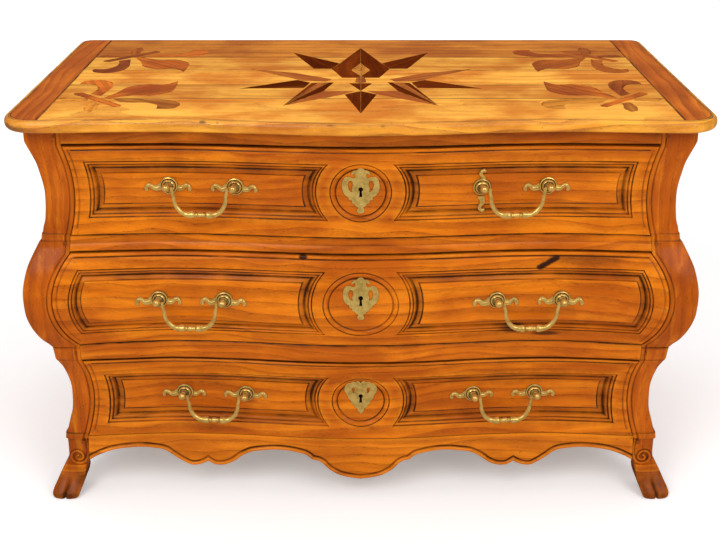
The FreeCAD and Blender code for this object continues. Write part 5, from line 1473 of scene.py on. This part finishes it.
def makeFloor():
    mesh = bpy.data.meshes.new("studioFloor")
    reach = 30.0
    mesh.from_pydata([(-reach, -reach, 0), (reach, -reach, 0), (reach, reach, 0), (-reach, reach, 0)], [],
                     [(0, 1, 2, 3)])
    floor = bpy.data.objects.new("studioFloor", mesh)
    bpy.context.scene.collection.objects.link(floor)
    material, tree, shader = newMaterial("paleFloor")
    seen = put(tree, "ShaderNodeLightPath").outputs["Is Camera Ray"]
    shader.inputs["Roughness"].default_value = 1.0
    shader.inputs["Specular IOR Level"].default_value = 0.0
    shader.inputs["Emission Color"].default_value = (1, 1, 1, 1)
    away = vectors(tree, "LENGTH", {0: put(tree, "ShaderNodeTexCoord").outputs["Object"]}, output=1)
    away = rampOf(tree, away, 1.2, 4.0)
    lift = maths(tree, "MULTIPLY_ADD", away, studio["farLift"] - studio["floorLift"], studio["floorLift"])
    tree.links.new(maths(tree, "MULTIPLY", seen, lift), shader.inputs["Emission Strength"])
    glossy = put(tree, "ShaderNodeLightPath").outputs["Is Glossy Ray"]
    tree.links.new(blendColour(tree, glossy, studio["floorColour"], studio["floorGloss"]),
                   shader.inputs["Base Color"])
    mesh.materials.append(material)


def makeLight():
    world = bpy.data.worlds.new("studioWorld")
    bpy.context.scene.world = world
    world.use_nodes = True
    tree = world.node_tree
    tree.nodes.clear()
    rays = put(tree, "ShaderNodeLightPath").outputs
    seen = maths(tree, "MAXIMUM", rays["Is Camera Ray"], rays["Is Transmission Ray"])
    dim = maths(tree, "MULTIPLY_ADD", rays["Is Glossy Ray"], studio["glossWorld"] - studio["worldStrength"],
                studio["worldStrength"])
    strength = maths(tree, "MAXIMUM", seen, dim)
    sky = put(tree, "ShaderNodeBackground", {"Color": (1, 1, 1, 1), "Strength": strength})
    put(tree, "ShaderNodeOutputWorld", {"Surface": sky.outputs[0]})
    for k, (place, aim, size, watts) in enumerate(studio["lamps"]):
        lamp = bpy.data.lights.new("softLamp%d" % (k + 1), "AREA")
        lamp.shape, lamp.size, lamp.energy = "DISK", size, watts
        holder = bpy.data.objects.new(lamp.name, lamp)
        holder.location = place
        holder.rotation_euler = (Vector(aim) - Vector(place)).to_track_quat("-Z", "Y").to_euler()
        bpy.context.scene.collection.objects.link(holder)


def makeCamera():
    lens = bpy.data.cameras.new("studioCamera")
    lens.lens, lens.sensor_width, lens.shift_x = studio["lens"], 36.0, studio["shift"]
    camera = bpy.data.objects.new("studioCamera", lens)
    camera.location = studio["place"]
    camera.rotation_euler = (math.radians(studio["tilt"]), 0, 0)
    bpy.context.scene.collection.objects.link(camera)
    bpy.context.scene.camera = camera


makeFloor()
makeLight()
makeCamera()
bpy.context.scene.view_settings.view_transform = "Standard"
print("studio ready")
